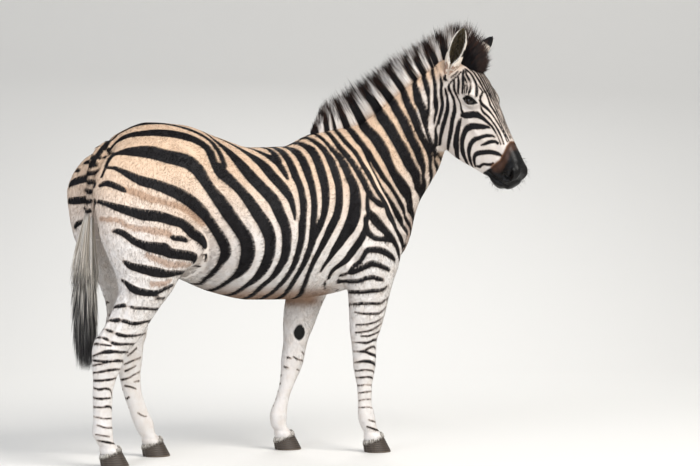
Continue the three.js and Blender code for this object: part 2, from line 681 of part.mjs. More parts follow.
for (const leg of LEGS) {
  const place = hoofPlace(leg);
  const edge = coronet(place[0]);
  const block = legBlock(leg);
  nodes[`${leg.name}_upper_leg`] = largest(above(below(block, leg.top), leg.middle));
  nodes[`${leg.name}_lower_leg`] = largest(beyond(below(block, leg.middle), edge.normal, edge.d));
  nodes[`${leg.name}_hoof`] = hoof(place);
}

// ---------------------------------------------------------------- scene graph
const finish = (color, roughness) => new THREE.MeshStandardMaterial({ color, roughness, metalness: 0 });
const COLOURS = [
  [/^eye/, "#14100e", 0.1],
  [/hoof$/, "#3b332e", 0.55],
  [/^(mane|forelock|tail_switch)/, "#2a2320", 0.9],
  [/^ear/, "#cfc4b4", 0.9],
  [/./, "#d9c7b0", 0.9],
];

const group = new THREE.Group();
for (const [name, made] of Object.entries(nodes)) {
  const { vertProperties, triVerts } = made.getMesh();
  const geometry = new THREE.BufferGeometry();
  geometry.setAttribute("position", new THREE.BufferAttribute(vertProperties, 3));
  geometry.setIndex(new THREE.BufferAttribute(triVerts, 1));
  geometry.computeVertexNormals();
  const [, colour, roughness] = COLOURS.find(([pattern]) => pattern.test(name));
  const mesh = new THREE.Mesh(geometry, finish(colour, roughness));
  mesh.name = name;
  group.add(mesh);
}
group.position.set(-MIDDLE[0], -MIDDLE[1], 0);

export default group;
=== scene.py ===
"""A plains zebra, life size, standing square with its head turned to its right.

Shapes are worked out in millimetres in the animal's own frame, where +X runs from tail to chest,
+Y to its left and +Z up, and are moved to the frame's origin and turned to metres when a piece is made.
"""
import math

import bpy
import numpy as np
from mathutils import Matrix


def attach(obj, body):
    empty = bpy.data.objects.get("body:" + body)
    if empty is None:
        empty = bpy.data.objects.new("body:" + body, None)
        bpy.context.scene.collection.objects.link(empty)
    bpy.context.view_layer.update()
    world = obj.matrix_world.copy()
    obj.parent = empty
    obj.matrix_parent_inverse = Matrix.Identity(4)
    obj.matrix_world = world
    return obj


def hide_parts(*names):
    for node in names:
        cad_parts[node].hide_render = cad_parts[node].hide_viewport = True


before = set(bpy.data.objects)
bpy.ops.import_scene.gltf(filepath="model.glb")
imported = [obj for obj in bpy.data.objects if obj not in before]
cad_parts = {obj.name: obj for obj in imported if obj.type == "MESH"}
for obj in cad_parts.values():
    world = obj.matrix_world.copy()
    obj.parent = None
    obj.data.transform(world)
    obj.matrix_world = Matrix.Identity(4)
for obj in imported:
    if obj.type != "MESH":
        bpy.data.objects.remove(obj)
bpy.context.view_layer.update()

# ---------------------------------------------------------------- the studio
# A pale seamless floor that curves up behind, a large soft key light high up, two weaker ones to the
# side and behind, and a pale surround. The camera stands ten metres off with a long lens.


def linear(hex_colour):
    """sRGB hex to linear light: c / 12.92 for a channel below 0.04045, else ((c + 0.055) / 1.055) ** 2.4."""
    channels = [int(hex_colour[i : i + 2], 16) / 255 for i in (1, 3, 5)]
    return [c / 12.92 if c <= 0.04045 else ((c + 0.055) / 1.055) ** 2.4 for c in channels] + [1.0]


def node(tree, kind, inputs=None, **settings):
    """Adds a node, sets its own settings, and sets or links each named or numbered input."""
    made = tree.nodes.new(kind)
    for key, value in settings.items():
        setattr(made, key, value)
    for key, value in (inputs or {}).items():
        if isinstance(value, bpy.types.NodeSocket):
            tree.links.new(value, made.inputs[key])
        else:
            made.inputs[key].default_value = value
    return made


def new_material(name, **inputs):
    """A material with one Principled shader. Returns the material, its tree and the shader."""
    material = bpy.data.materials.new(name)
    material.use_nodes = True
    shader = material.node_tree.nodes["Principled BSDF"]
    for key, value in inputs.items():
        shader.inputs[key.replace("_", " ")].default_value = value
    return material, material.node_tree, shader


def mesh_piece(name, points, faces, material, attributes=None, uv=None, smooth=True):
    """A mesh object from arrays. faces is (count, 3) or (count, 4); attributes and uv are per point."""
    mesh = bpy.data.meshes.new(name)
    size = faces.shape[1]
    mesh.vertices.add(len(points))
    mesh.vertices.foreach_set("co", np.asarray(points, np.float32).ravel())
    mesh.loops.add(faces.size)
    mesh.loops.foreach_set("vertex_index", faces.astype(np.int32).ravel())
    mesh.polygons.add(len(faces))
    mesh.polygons.foreach_set("loop_start", np.arange(0, faces.size, size, dtype=np.int32))
    mesh.update(calc_edges=True)
    mesh.polygons.foreach_set("use_smooth", np.full(len(faces), smooth))
    for key, value in (attributes or {}).items():
        value = np.asarray(value, np.float32)
        kind = "FLOAT" if value.ndim == 1 else "FLOAT_VECTOR"
        layer = mesh.attributes.new(key, kind, "POINT")
        layer.data.foreach_set("value" if value.ndim == 1 else "vector", value.ravel())
    if uv is not None:
        layer = mesh.uv_layers.new(name="OFBake")
        layer.data.foreach_set("uv", np.asarray(uv, np.float32)[faces.ravel()].ravel())
    mesh.materials.append(material)
    piece = bpy.data.objects.new(name, mesh)
    bpy.context.scene.collection.objects.link(piece)
    return piece


def grid_faces(rows, columns, wrap=False):
    """Quads over a grid of rows by columns of points, closed across the columns when wrap is set."""
    r = np.arange(rows - 1)[:, None] * columns
    c = np.arange(columns if wrap else columns - 1)[None, :]
    d = (c + 1) % columns
    return np.stack([r + c, r + d, r + columns + d, r + columns + c], -1).reshape(-1, 4)


def seamless_floor():
    """A strip whose profile is flat, then a quarter circle, then upright, swept across the camera's view."""
    arc = np.linspace(0, math.pi / 2, 16)
    forward = np.concatenate([[-16, -6, 0], 4 + 3 * np.sin(arc), [7, 7]])
    rise = np.concatenate([[0, 0, 0], 3 - 3 * np.cos(arc), [6, 9]])
    across = np.linspace(-16, 16, 9)
    f, s = np.meshgrid(forward, across, indexing="ij")
    z = np.repeat(rise[:, None], 9, 1)
    a = math.radians(27)
    points = np.stack([f * math.sin(a) + s * math.cos(a), f * math.cos(a) - s * math.sin(a), z], -1)
    return points.reshape(-1, 3), grid_faces(len(forward), 9)[:, ::-1]


paper, paper_tree, paper_shader = new_material("studio paper, matt", Roughness=0.95)
grain = node(paper_tree, "ShaderNodeTexNoise", {"Scale": 1.4, "Detail": 3.0})
tone = node(
    paper_tree,
    "ShaderNodeMix",
    {0: grain.outputs["Fac"], 6: linear("#dcdad6"), 7: linear("#e6e4e0")},
    data_type="RGBA",
)
paper_tree.links.new(tone.outputs[2], paper_shader.inputs["Base Color"])
floor_points, floor_faces = seamless_floor()
floor = mesh_piece("studio_floor", floor_points, floor_faces, paper)

camera = bpy.data.objects.new("camera", bpy.data.cameras.new("camera"))
camera.data.sensor_width = 36.0
camera.data.lens = 36.0 * 2551 / 700
camera.data.clip_end = 100.0
camera.location = (-4.3549, -9.0286, 1.100)
camera.rotation_euler = (math.radians(90 - 1.291), 0.0, math.radians(-27))
bpy.context.scene.collection.objects.link(camera)
bpy.context.scene.camera = camera


def soft_light(name, place, target, size, watts, colour):
    """A square area light at place, turned to face target."""
    light = bpy.data.objects.new(name, bpy.data.lights.new(name, "AREA"))
    light.data.energy = watts
    light.data.size = size
    light.data.color = linear(colour)[:3]
    ray = np.array(target, float) - np.array(place, float)
    light.location = place
    tilt = math.acos(-ray[2] / np.linalg.norm(ray))
    light.rotation_euler = (tilt, 0, math.atan2(ray[1], ray[0]) - math.pi / 2)
    bpy.context.scene.collection.objects.link(light)


soft_light("key_light", (1.2, -4.6, 4.6), (0, 0, 0.9), 3.4, 370, "#fffcf7")
soft_light("side_light", (-5.5, -3.5, 3.0), (0, 0, 0.8), 3.5, 160, "#eef3ff")
soft_light("back_light", (2.5, 4.5, 4.2), (0, 0, 1.0), 3.0, 150, "#ffffff")
world = bpy.data.worlds.new("pale surround")
bpy.context.scene.world = world
world.use_nodes = True
world.node_tree.nodes["Background"].inputs["Color"].default_value = linear("#e9edf2")
world.node_tree.nodes["Background"].inputs["Strength"].default_value = 0.55
bpy.context.scene.view_settings.view_transform = "Standard"

# ---------------------------------------------------------------- the flesh
# The body under the coat: a barrel, a deep neck, a long head and four clean legs, all one skin.
# It is one smooth distance field made from profiled limbs, so that every part runs into the next.

MIDDLE = np.array([201.2, -78.3, 0.0])


def at_rows(rows, t):
    """Each column of a table at t, by cubics whose slope at a row is the harmonic mean of its neighbours'."""
    rows = np.array(rows, float)
    at, value = rows[:, 0], rows[:, 1:]
    step = np.diff(at)[:, None]
    secant = np.diff(value, axis=0) / step
    a, b = secant[:-1], secant[1:]
    slope = np.zeros_like(value)
    slope[1:-1] = np.where(a * b > 0, 2 * a * b / np.where(a * b > 0, a + b, 1), 0)
    i = np.clip(np.searchsorted(at, t, "right") - 1, 0, len(at) - 2)
    s = np.clip((t - at[i]) / step[i, 0], 0, 1)[:, None]
    rise = value[i + 1] - value[i]
    a, b = slope[i] * step[i], slope[i + 1] * step[i]
    return value[i] + s * (a + s * (3 * rise - 2 * a - b + s * (a + b - 2 * rise)))


def frame_of(origin, along, up):
    """An origin with its along, side and up directions as the rows of a matrix; side is up cross along."""
    along, up = np.array(along, float), np.array(up, float)
    return np.array(origin, float), np.stack([along, np.cross(up, along), up])


def limb(points, place, rows, swell=0.5, cap=0.6, square=2.0):
    """Distance to a tube of egg-shaped sections. rows hold at, top, bottom, side and half the width.

    The section's radius is k = ((v / height)^p + (w / width)^p)^(1 / p), with the overshoot past the
    ends added as a third axis, and the distance is the reach from the middle times 1 - 1 / k.
    """
    origin, axes = place
    t, w, v = ((points - origin) @ axes.T).T
    top, bottom, side, half = at_rows(rows, t).T
    centre = bottom + (top - bottom) * swell
    height = np.where(v > centre, top - centre, centre - bottom)
    past = np.maximum(np.maximum(rows[0][0] - t, t - rows[-1][0]), 0)
    total = np.abs((v - centre) / height) ** square + np.abs((w - side) / half) ** square
    k = np.sqrt(total ** (2 / square) + (past / (cap * half)) ** 2)
    reach = np.sqrt((v - centre) ** 2 + (w - side) ** 2 + past**2)
    return np.where(k < 1e-6, -np.minimum(height, half), reach * (1 - 1 / np.maximum(k, 1e-6)))


def knob(points, place, at, radii):
    """Distance to an ellipsoid at (along, side, up) in a frame, to first order."""
    origin, axes = place
    q = ((points - origin) @ axes.T - at) / radii
    k = np.linalg.norm(q, axis=1)
    return k * (k - 1) / np.maximum(np.linalg.norm(q / radii, axis=1), 1e-6)


def blend(a, b, width):
    """Smooth union: the lesser of two distances, less a quarter of width times the square of the overlap."""
    h = np.maximum(width - np.abs(a - b), 0) / width
    return np.minimum(a, b) - h * h * width / 4


def tilted(origin, degrees):
    """A frame in the middle plane whose along direction rises by this angle."""
    c, s = math.cos(math.radians(degrees)), math.sin(math.radians(degrees))
    return frame_of(origin, (c, 0, s), (-s, 0, c))


LENGTHWISE = tilted((0, 0, 0), 0)
NECK = tilted((470, 0, 1000), 49)
UPRIGHT = (np.zeros(3), np.array([[0, 0, 1.0], [0, 1.0, 0], [1.0, 0, 0]]))
HEAD_YAW = math.radians(-59)  # the way the face points, seen from above
HEAD_DROP = math.radians(60)  # how far the face points below level
facing = np.array([math.cos(HEAD_YAW), math.sin(HEAD_YAW), 0])
HEAD = frame_of(
    (925, -205, 1572),
    facing * math.cos(HEAD_DROP) - [0, 0, math.sin(HEAD_DROP)],
    facing * math.sin(HEAD_DROP) + [0, 0, math.cos(HEAD_DROP)],
)

TRUNK_ROWS = [
    (-585, 1186, 1090, 0, 34), (-556, 1215, 985, 0, 84), (-500, 1266, 850, 0, 178),
    (-380, 1306, 755, 0, 226), (-250, 1297, 697, 0, 252), (-104, 1251, 640, 0, 270),
    (43, 1212, 611, 0, 274), (194, 1217, 609, 0, 250), (321, 1261, 617, 0, 208),
    (400, 1268, 628, 0, 186), (480, 1235, 648, 0, 172), (560, 1170, 690, 0, 158), (640, 1060, 760, 0, 120),
]
NECK_ROWS = [
    (-60, 240, -250, 0, 140), (0, 240, -290, 0, 150), (60, 230, -280, 0, 148), (125, 216, -262, 0, 140),
    (205, 193, -250, 0, 126), (280, 165, -238, -8, 112), (352, 151, -222, -22, 102),
    (389, 146, -206, -30, 98), (472, 135, -150, -52, 90), (535, 127, -112, -74, 84),
    (618, 109, -80, -102, 78), (667, 90, -66, -115, 70), (700, 66, -50, -122, 58),
]
FORE_ROWS = [
    (20, 30, 30, 124), (50, 37, 36, 124), (62, 40, 38, 124), (78, 35, 33, 124), (103, 34, 32, 124),
    (137, 37, 33, 124), (158, 35.5, 31, 125), (202, 30.5, 26, 126), (260, 33, 27, 127), (318, 43, 37, 128),
    (352, 48, 43, 129), (389, 50, 44, 130), (435, 53, 45, 131), (493, 66, 53, 132), (551, 76, 60, 133),
    (620, 87, 66, 135), (680, 99, 74, 137), (750, 116, 80, 138), (850, 125, 70, 136), (950, 95, 52, 128),
]
HIND_ROWS = [
    (20, 30, 30, 132), (50, 38, 37, 132), (60, 42, 39, 132), (72, 38, 34, 132), (95, 36, 32, 132),
    (131, 42, 35, 133), (184, 39, 28, 134), (270, 41, 29, 136), (323, 46, 32, 138), (364, 56, 38, 139),
    (436, 72, 43, 141), (477, 90, 42, 142), (512, 88, 42, 143), (555, 88, 47, 144), (601, 94, 56, 145),
    (667, 110, 70, 147), (718, 129, 80, 148), (797, 184, 96, 148), (870, 205, 104, 145),
    (950, 208, 106, 142), (1040, 212, 100, 136), (1100, 200, 90, 124), (1160, 168, 74, 108),
    (1210, 120, 56, 92),
]
STANCE = {
    "right_fore": [
        (62, 526), (103, 507), (137, 498), (202, 488), (318, 485), (389, 484),
        (435, 482), (551, 495), (680, 506), (850, 522), (950, 470),
    ],
    "left_fore": [
        (62, 250), (103, 228), (137, 227), (194, 242), (318, 284), (394, 299),
        (487, 319), (599, 350), (680, 395), (850, 500), (950, 470),
    ],
    "right_hind": [
        (60, -598), (95, -617), (131, -628), (270, -629), (364, -615), (436, -602),
        (477, -575), (512, -550), (555, -520), (601, -493), (667, -458), (718, -448),
        (797, -427), (870, -435), (950, -445), (1040, -452), (1160, -440), (1210, -430),
    ],
    "left_hind": [
        (60, -318), (95, -340), (131, -352), (184, -374), (270, -401), (364, -412),
        (436, -420), (477, -424), (512, -416), (555, -412), (601, -410), (667, -415),
        (718, -422), (797, -417), (870, -430), (950, -445), (1040, -452), (1160, -440), (1210, -430),
    ],
}
LEG_NAMES = ["left_fore", "right_fore", "left_hind", "right_hind"]


def leg_middle(name, z):
    """Where the middle of a leg lies fore and aft at a height."""
    return at_rows(STANCE[name], np.asarray(z, float).ravel())[:, 0]


def leg_rows(name):
    """A leg's table of sections: at, front, back, side and half width."""
    side = 1 if name.startswith("left") else -1
    sections = np.array(FORE_ROWS if name.endswith("fore") else HIND_ROWS, float)
    middle = leg_middle(name, sections[:, 0])
    deep, wide, out = sections[:, 1:].T
    return np.stack([sections[:, 0], middle + deep, middle - deep, side * out, wide], 1)


SKULL_ROWS = [
    (-30, -96, -150, 0, 44), (0, -52, -200, 0, 60), (35, -14, -238, 0, 70), (78, 12, -264, 0, 77),
    (120, 18, -276, 0, 81), (166, 16, -283, 0, 82), (210, 12, -285, 0, 78), (260, 8, -278, 0, 70),
    (305, 4, -262, 0, 61), (348, 2, -238, 0, 54), (384, 1, -213, 0, 50), (431, 0, -184, 0, 47),
    (465, -2, -166, 0, 47), (495, -8, -153, 0, 46), (520, -26, -142, 0, 40), (536, -52, -124, 0, 28),
]
HEAD_KNOBS = [
    ((160, 66, -32), (52, 34, 34)),  # brow
    ((215, 40, -185), (88, 32, 88)),  # jaw muscle
    ((500, 32, -48), (34, 20, 34)),  # nostril
]
DOCK = [  # the flesh of the tail: x, z, half across, half deep
    (-552, 1216, 24, 18), (-582, 1197, 26, 20), (-606, 1156, 26, 21), (-615, 1095, 25, 21),
    (-619, 1030, 24, 20), (-627, 955, 23, 19), (-635, 885, 21, 18), (-640, 835, 17, 15),
]


def tail_flesh(points):
    """Distance to the dock: the least over its straight pieces of the reach to a cone of round section."""
    best = np.full(len(points), 400.0)
    near = np.abs(points[:, 0] + 600) < 200
    p = points[near]
    rows = np.array(DOCK, float)
    a = np.stack([rows[:, 0], 0 * rows[:, 0], rows[:, 1]], 1)
    least = np.full(len(p), 400.0)
    for i in range(len(rows) - 1):
        run = a[i + 1] - a[i]
        s = np.clip((p - a[i]) @ run / (run @ run), 0, 1)
        offset = p - a[i] - s[:, None] * run
        wide = rows[i, 2] + s * (rows[i + 1, 2] - rows[i, 2])
        deep = rows[i, 3] + s * (rows[i + 1, 3] - rows[i, 3])
        k = np.sqrt((offset[:, 1] / wide) ** 2 + (offset[:, 0] ** 2 + offset[:, 2] ** 2) / deep**2)
        length = np.linalg.norm(offset, axis=1)
        least = np.minimum(least, np.where(k < 1e-6, -deep, length * (1 - 1 / np.maximum(k, 1e-6))))
    best[near] = least
    return best


def body_parts(points):
    """The distances to trunk, neck, head, tail and the four legs, one row each."""
    trunk = limb(points, LENGTHWISE, TRUNK_ROWS, swell=0.46)
    neck = limb(points, NECK, NECK_ROWS)
    head = limb(points, HEAD, SKULL_ROWS, swell=0.66, cap=0.5, square=2.5)
    for (s, w, n), radii in HEAD_KNOBS:
        for side in (-1, 1):
            head = blend(head, knob(points, HEAD, (s, side * w, n), radii), 22)
    head = blend(head, knob(points, HEAD, (488, 0, -132), (38, 34, 26)), 22)
    legs = [limb(points, UPRIGHT, leg_rows(name), cap=0.3) for name in LEG_NAMES]
    return np.stack([trunk, neck, head, tail_flesh(points)] + legs)


def flesh(points):
    """The whole body's distance: the parts blended over bands from 26 to 120 mm wide."""
    trunk, neck, head, tail, *legs = body_parts(points)
    d = blend(trunk, neck, 120)
    c, s = math.cos(math.radians(-58)), math.sin(math.radians(-58))
    for side in (1, -1):
        blade = frame_of((500, side * 122, 1000), (c, 0, s), (-s, 0, c))
        d = blend(d, knob(points, blade, (0, 0, 0), (215, 62, 105)), 60)
    for i, leg in enumerate(legs):
        d = blend(d, leg, 50 if i < 2 else 60)
    d = blend(d, head, 55)
    return blend(d, tail, 26)


def slope_of(field, points, step=1.0):
    """The field's gradient by central differences."""
    shifts = np.eye(3) * step
    return np.stack([field(points + e) - field(points - e) for e in shifts], 1) / (2 * step)


def settle(field, points, level=0.0, rounds=2):
    """Newton's steps along the slope to where the field equals level, each held under 12 mm."""
    for _ in range(rounds):
        g = slope_of(field, points)
        d = field(points) - level
        step = d / np.maximum((g**2).sum(1), 0.05)
        points = points - g * np.clip(step, -12, 12)[:, None]
    return points


def surface_net(field, low, high, cell, level):
    """A mesh of a field's surface: one vertex in each crossed cell, one quad across each crossed edge.

    The field is first read on a grid four times coarser, and again only near the surface.
    """
    count = (np.ceil((np.array(high) - low) / (4 * cell)).astype(int) + 1) * 4
    axes = [low[k] + cell * np.arange(count[k]) for k in range(3)]
    rough = np.stack(np.meshgrid(*[a[::4] + 1.5 * cell for a in axes], indexing="ij"), -1)
    far = field(rough.reshape(-1, 3)).reshape(rough.shape[:3])
    value = np.repeat(np.repeat(np.repeat(far, 4, 0), 4, 1), 4, 2)
    near = np.argwhere(np.abs(value) < 7.5 * cell)
    value[tuple(near.T)] = field(low + near * cell)
    value -= level
    inside = value < 0
    corners = np.array([(a, b, c) for c in (0, 1) for b in (0, 1) for a in (0, 1)])
    window = [slice(0, -1), slice(1, None)]
    total = sum(inside[window[a], window[b], window[c]].astype(np.int8) for a, b, c in corners)
    cells = np.argwhere((total > 0) & (total < 8))
    v = np.stack([value[tuple((cells + c).T)] for c in corners])
    place = np.zeros((len(cells), 3))
    crossings = np.zeros(len(cells))
    for i in range(8):
        for bit in (1, 2, 4):
            j = i | bit
            if i & bit:
                continue
            cross = (v[i] < 0) != (v[j] < 0)
            s = np.where(cross, v[i] / np.where(cross, v[i] - v[j], 1), 0)
            place += cross[:, None] * (corners[i] + s[:, None] * (corners[j] - corners[i]))
            crossings += cross
    number = np.full(value.shape, -1)
    number[tuple(cells.T)] = np.arange(len(cells))
    quads = []
    for k in range(3):
        a, b = np.eye(3, dtype=int)[(k + 1) % 3], np.eye(3, dtype=int)[(k + 2) % 3]
        ahead = np.roll(inside, -1, axis=k)
        edge = np.argwhere(inside != ahead)
        edge = edge[(edge[:, k] < value.shape[k] - 1) & (edge > 0).all(1)]
        ring = np.stack([number[tuple((edge - q).T)] for q in (0 * a, a, a + b, b)], 1)
        flip = inside[tuple(edge.T)]
        ring[~flip] = ring[~flip][:, ::-1]
        quads.append(ring[(ring >= 0).all(1)])
    return low + (cells + place / crossings[:, None]) * cell, np.concatenate(quads)


def split_edges(points, faces, chosen):
    """Splits every edge whose middle is chosen, and each triangle at it into two, three or four."""
    edges = np.sort(faces[:, [0, 1, 1, 2, 2, 0]].reshape(-1, 2), axis=1)
    unique, back = np.unique(edges, axis=0, return_inverse=True)
    middle = points[unique].mean(1)
    pick = chosen(middle)
    fresh = np.full(len(unique), -1)
    fresh[pick] = len(points) + np.arange(pick.sum())
    mid = fresh[back.reshape(-1, 3)]
    marks = (mid >= 0).sum(1)
    lone = np.where(marks == 1, (mid >= 0).argmax(1), np.where(marks == 2, (mid < 0).argmax(1) + 1, 0)) % 3
    order = (lone[:, None] + np.arange(3)) % 3
    f = np.take_along_axis(faces, order, 1)
    m = np.take_along_axis(mid, order, 1)
    a, b, c = f.T
    ab, bc, ca = m.T
    one, two, three = marks == 1, marks == 2, marks == 3
    pieces = [
        f[marks == 0],
        np.stack([a, ab, c], 1)[one], np.stack([ab, b, c], 1)[one],
        np.stack([b, bc, ab], 1)[two], np.stack([a, ab, bc], 1)[two], np.stack([a, bc, c], 1)[two],
        np.stack([a, ab, ca], 1)[three], np.stack([ab, b, bc], 1)[three],
        np.stack([ca, bc, c], 1)[three], np.stack([ab, bc, ca], 1)[three],
    ]
    return np.concatenate([points, middle[pick]]), np.concatenate(pieces)


COAT_DEPTH = 3.0
LOWEST, HIGHEST, CELL = np.array([-690.0, -480, 30]), np.array([1130.0, 310, 1640]), 10.8
skin_points, skin_quads = surface_net(flesh, LOWEST, HIGHEST, CELL, -COAT_DEPTH)
skin_points = settle(flesh, skin_points, -COAT_DEPTH)
skin_faces = np.concatenate([skin_quads[:, [0, 1, 2]], skin_quads[:, [0, 2, 3]]])


def on_head(points):
    """Points in the head's own frame: along the face from the poll, to the animal's left, and up."""
    return (points - HEAD[0]) @ HEAD[1].T


def from_head(along, side, up):
    """The body-frame point at a place in the head's frame."""
    return HEAD[0] + np.stack(np.broadcast_arrays(along, side, up), -1) @ HEAD[1]


def fine_region(points):
    """Where the mesh is made finer: the face and the legs."""
    s, w, n = on_head(points).T
    face = (s > 5) & (np.abs(w) < 130) & (n > -300) & (n < 60) & (s < 560) & (points[:, 2] > 1050)
    legs = points[:, 2] < 600
    return face | legs


def finest_region(points):
    """The eyes, the nostrils and the lips."""
    s, w, n = on_head(points).T
    eye = (s - 172) ** 2 + (n + 51) ** 2 < 46**2
    lips = (s > 425) & (n < 10)
    return (np.abs(w) < 130) & (points[:, 2] > 1000) & (eye | lips)


for region in (fine_region, finest_region):
    old = len(skin_points)
    skin_points, skin_faces = split_edges(skin_points, skin_faces, region)
    skin_points[old:] = settle(flesh, skin_points[old:], -COAT_DEPTH)

# ---------------------------------------------------------------- folds, bones and sinews
# What shows through a short coat: lips, nostrils, lids, cheek ridge, shoulder, ribs, flank, stifle and
# the cords of the legs. Each is a soft ridge or groove along a line laid on the skin.


def march(start, heading):
    """Moves points along a heading till they meet the flesh. One that misses settles at its nearest."""
    p, best, least = start.copy(), start.copy(), np.full(len(start), 1e9)
    going = np.arange(len(start))
    for _ in range(60):
        d = flesh(p[going])
        closer = d < least[going]
        best[going[closer]], least[going[closer]] = p[going[closer]], d[closer]
        p[going] += heading[going] * np.clip(0.7 * d, 0.5, 60)[:, None]
        going = going[(d > 0.2) & (d < least[going] + 150)]
        if len(going) == 0:
            break
    return settle(flesh, best, -COAT_DEPTH, 3)


def leg_shift(x, z):
    """How much further forward the left leg's skin lies than the right's, which the marks on it follow."""
    fore = np.clip((x - 380) / 60, 0, 1) * (leg_middle("left_fore", z) - leg_middle("right_fore", z))
    hind = np.clip((-250 - x) / 60, 0, 1) * (leg_middle("left_hind", z) - leg_middle("right_hind", z))
    return np.where(z < 950, fore + hind, 0)


def smooth_line(line, step=13.0):
    """A line of (a, b, size) points drawn as a smooth curve with a point about every step."""
    line = np.array(line, float).reshape(-1, 3)
    run = np.concatenate([[0], np.cumsum(np.linalg.norm(np.diff(line[:, :2], axis=0), axis=1))])
    return at_rows(np.column_stack([run, line]), np.linspace(0, run[-1], int(run[-1] / step) + 2))


def lay(lines, chart, sides=(-1, 1)):
    """Lays lines of (a, b, size) on the skin of each side, as points with their size.

    chart is "flank" for (x, z) seen from outside, "inner" for (x, z) seen from the middle plane,
    "rear" for (outwards, z) seen from behind, "face" for (along, up) on the head's side and "nose" for
    (along, across) on its front.
    """
    drawn = [smooth_line(line) for line in lines for _ in sides]
    side = np.concatenate([np.full(len(d), float(s)) for d, s in zip(drawn, list(sides) * len(lines))])
    a, b, size = np.concatenate(drawn).T
    left = (side > 0) if chart == "flank" else (side < 0)
    zero = 0 * side
    if chart in ("flank", "inner"):
        out = side * (440 if chart == "flank" else 6)
        start = np.stack([a + np.where(left, leg_shift(a, b), 0), out, b], 1)
        heading = np.stack([zero, -side if chart == "flank" else side, zero], 1)
    elif chart == "rear":
        start, heading = np.stack([zero - 760, side * a, b], 1), np.stack([zero + 1, zero, zero], 1)
    elif chart == "face":
        start, heading = from_head(a, side * 230.0, b), -side[:, None] * HEAD[1][1]
    else:
        start, heading = from_head(a, side * b, 150.0), -(side**2)[:, None] * HEAD[1][2]
    rows = np.column_stack([march(start, heading), size])
    return np.split(rows, np.cumsum([len(d) for d in drawn])[:-1])


def reach(points, lines, limit=60.0):
    """Each point's distance to the nearest line less the line's half width there, at most limit."""
    best = np.full(len(points), limit)
    for line in lines:
        for i in range(0, len(line) - 1, 6):
            part = line[i : i + 7]
            margin = limit * 0.5 + part[:, 3].max()
            near = ((points > part[:, :3].min(0) - margin) & (points < part[:, :3].max(0) + margin)).all(1)
            p = points[near][:, None]
            a, run = part[:-1, :3], np.diff(part[:, :3], axis=0)
            s = np.clip(((p - a) * run).sum(2) / np.maximum((run**2).sum(1), 1e-6), 0, 1)
            gap = np.linalg.norm(p - a - s[:, :, None] * run, axis=2)
            gap -= part[:-1, 3] + s * np.diff(part[:, 3])
            best[near] = np.minimum(best[near], gap.min(1))
    return best


def relief(points, lines, chart):
    """How far the skin stands out: each line adds height times exp(-(distance / width)^2)."""
    total = np.zeros(len(points))
    laid = lay([[(a, b, 0) for a, b in line] for _, _, line in lines], chart)
    for i, (height, width, _) in enumerate(lines):
        for line in laid[2 * i : 2 * i + 2]:
            total += height * np.exp(-((reach(points, [line], width * 6) / width) ** 2))
    return total


FACE_RELIEF = [  # height, width, line of (along, up)
    (-7.0, 3.6, [(537, -100), (522, -110), (500, -121), (478, -132), (458, -144), (441, -153)]),
    (2.6, 9.0, [(528, -88), (505, -102), (478, -116), (452, -132)]),
    (2.2, 8.0, [(524, -124), (500, -138), (478, -146)]),
    (-13.0, 6.0, [(505, -44), (516, -56), (519, -68), (512, -79), (500, -82)]),
    (3.6, 5.5, [(497, -34), (514, -38), (527, -52), (530, -70), (522, -86), (508, -95)]),
    (2.4, 5.0, [(500, -60), (492, -72), (484, -78)]),
    (4.0, 11.0, [(196, -98), (250, -102), (300, -98), (332, -90)]),
    (-3.5, 13.0, [(240, -130), (275, -160), (300, -200), (296, -240)]),
    (-3.0, 15.0, [(335, -50), (390, -58), (440, -64)]),
    (-4.0, 9.0, [(452, -172), (462, -164)]),
    (-6.0, 20.0, [(105, -18), (128, -16)]),
    (3.0, 7.0, [(146, -50), (160, -22), (184, -10), (206, -22)]),
    (-2.5, 6.0, [(158, -86), (184, -82), (206, -64)]),
    (-4.0, 12.0, [(96, -118), (120, -190), (170, -262)]),
]
BODY_RELIEF = [  # height, width, line of (x, z)
    (-8.0, 22.0, [(838, 1165), (765, 1068), (700, 985), (660, 900)]),
    (-4.0, 26.0, [(352, 1210), (372, 1080), (384, 960), (398, 850), (414, 770)]),
    (-5.0, 22.0, [(498, 1160), (556, 1040), (598, 940), (622, 850)]),
    (4.0, 26.0, [(440, 1160), (520, 1000), (565, 900)]),
    (4.0, 26.0, [(420, 900), (470, 800), (540, 860)]),
    (6.0, 17.0, [(396, 742), (392, 722)]),
    (-7.0, 60.0, [(-226, 1120), (-214, 1050)]),
    (6.0, 30.0, [(-330, 1205), (-300, 1185)]),
    (5.0, 11.0, [(-262, 860), (-240, 800), (-238, 750), (-262, 706)]),
    (-4.0, 12.0, [(-236, 868), (-216, 800), (-212, 740)]),
    (5.0, 40.0, [(-300, 790), (-318, 740)]),
    (-5.0, 17.0, [(-560, 1060), (-540, 930), (-520, 800), (-524, 700)]),
    (-4.0, 24.0, [(-420, 1000), (-430, 860), (-440, 760)]),
    (-8.0, 11.0, [(-536, 640), (-566, 570), (-596, 512), (-615, 478)]),
    (4.0, 8.0, [(-572, 640), (-606, 560), (-640, 496), (-652, 468)]),
    (4.0, 12.0, [(-600, 440), (-604, 410)]),
    (-3.0, 7.0, [(-628, 372), (-634, 270), (-636, 170)]),
    (-3.0, 6.0, [(478, 306), (478, 240), (484, 165)]),
    (3.0, 9.0, [(500, 372), (500, 350)]),
    (-2.5, 8.0, [(470, 340), (470, 318)]),
    (-2.5, 7.0, [(500, 84), (530, 80)]),
]


def direction_out(points):
    """The outward direction of the flesh's surface."""
    g = slope_of(flesh, points)
    return g / np.maximum(np.linalg.norm(g, axis=1), 1e-6)[:, None]


EYE = (172, 74, -51)
EYE_RADIUS = 22.0
LID_TILT = math.radians(45)  # the slit of the eye rises by this towards the nose, in the head's frame


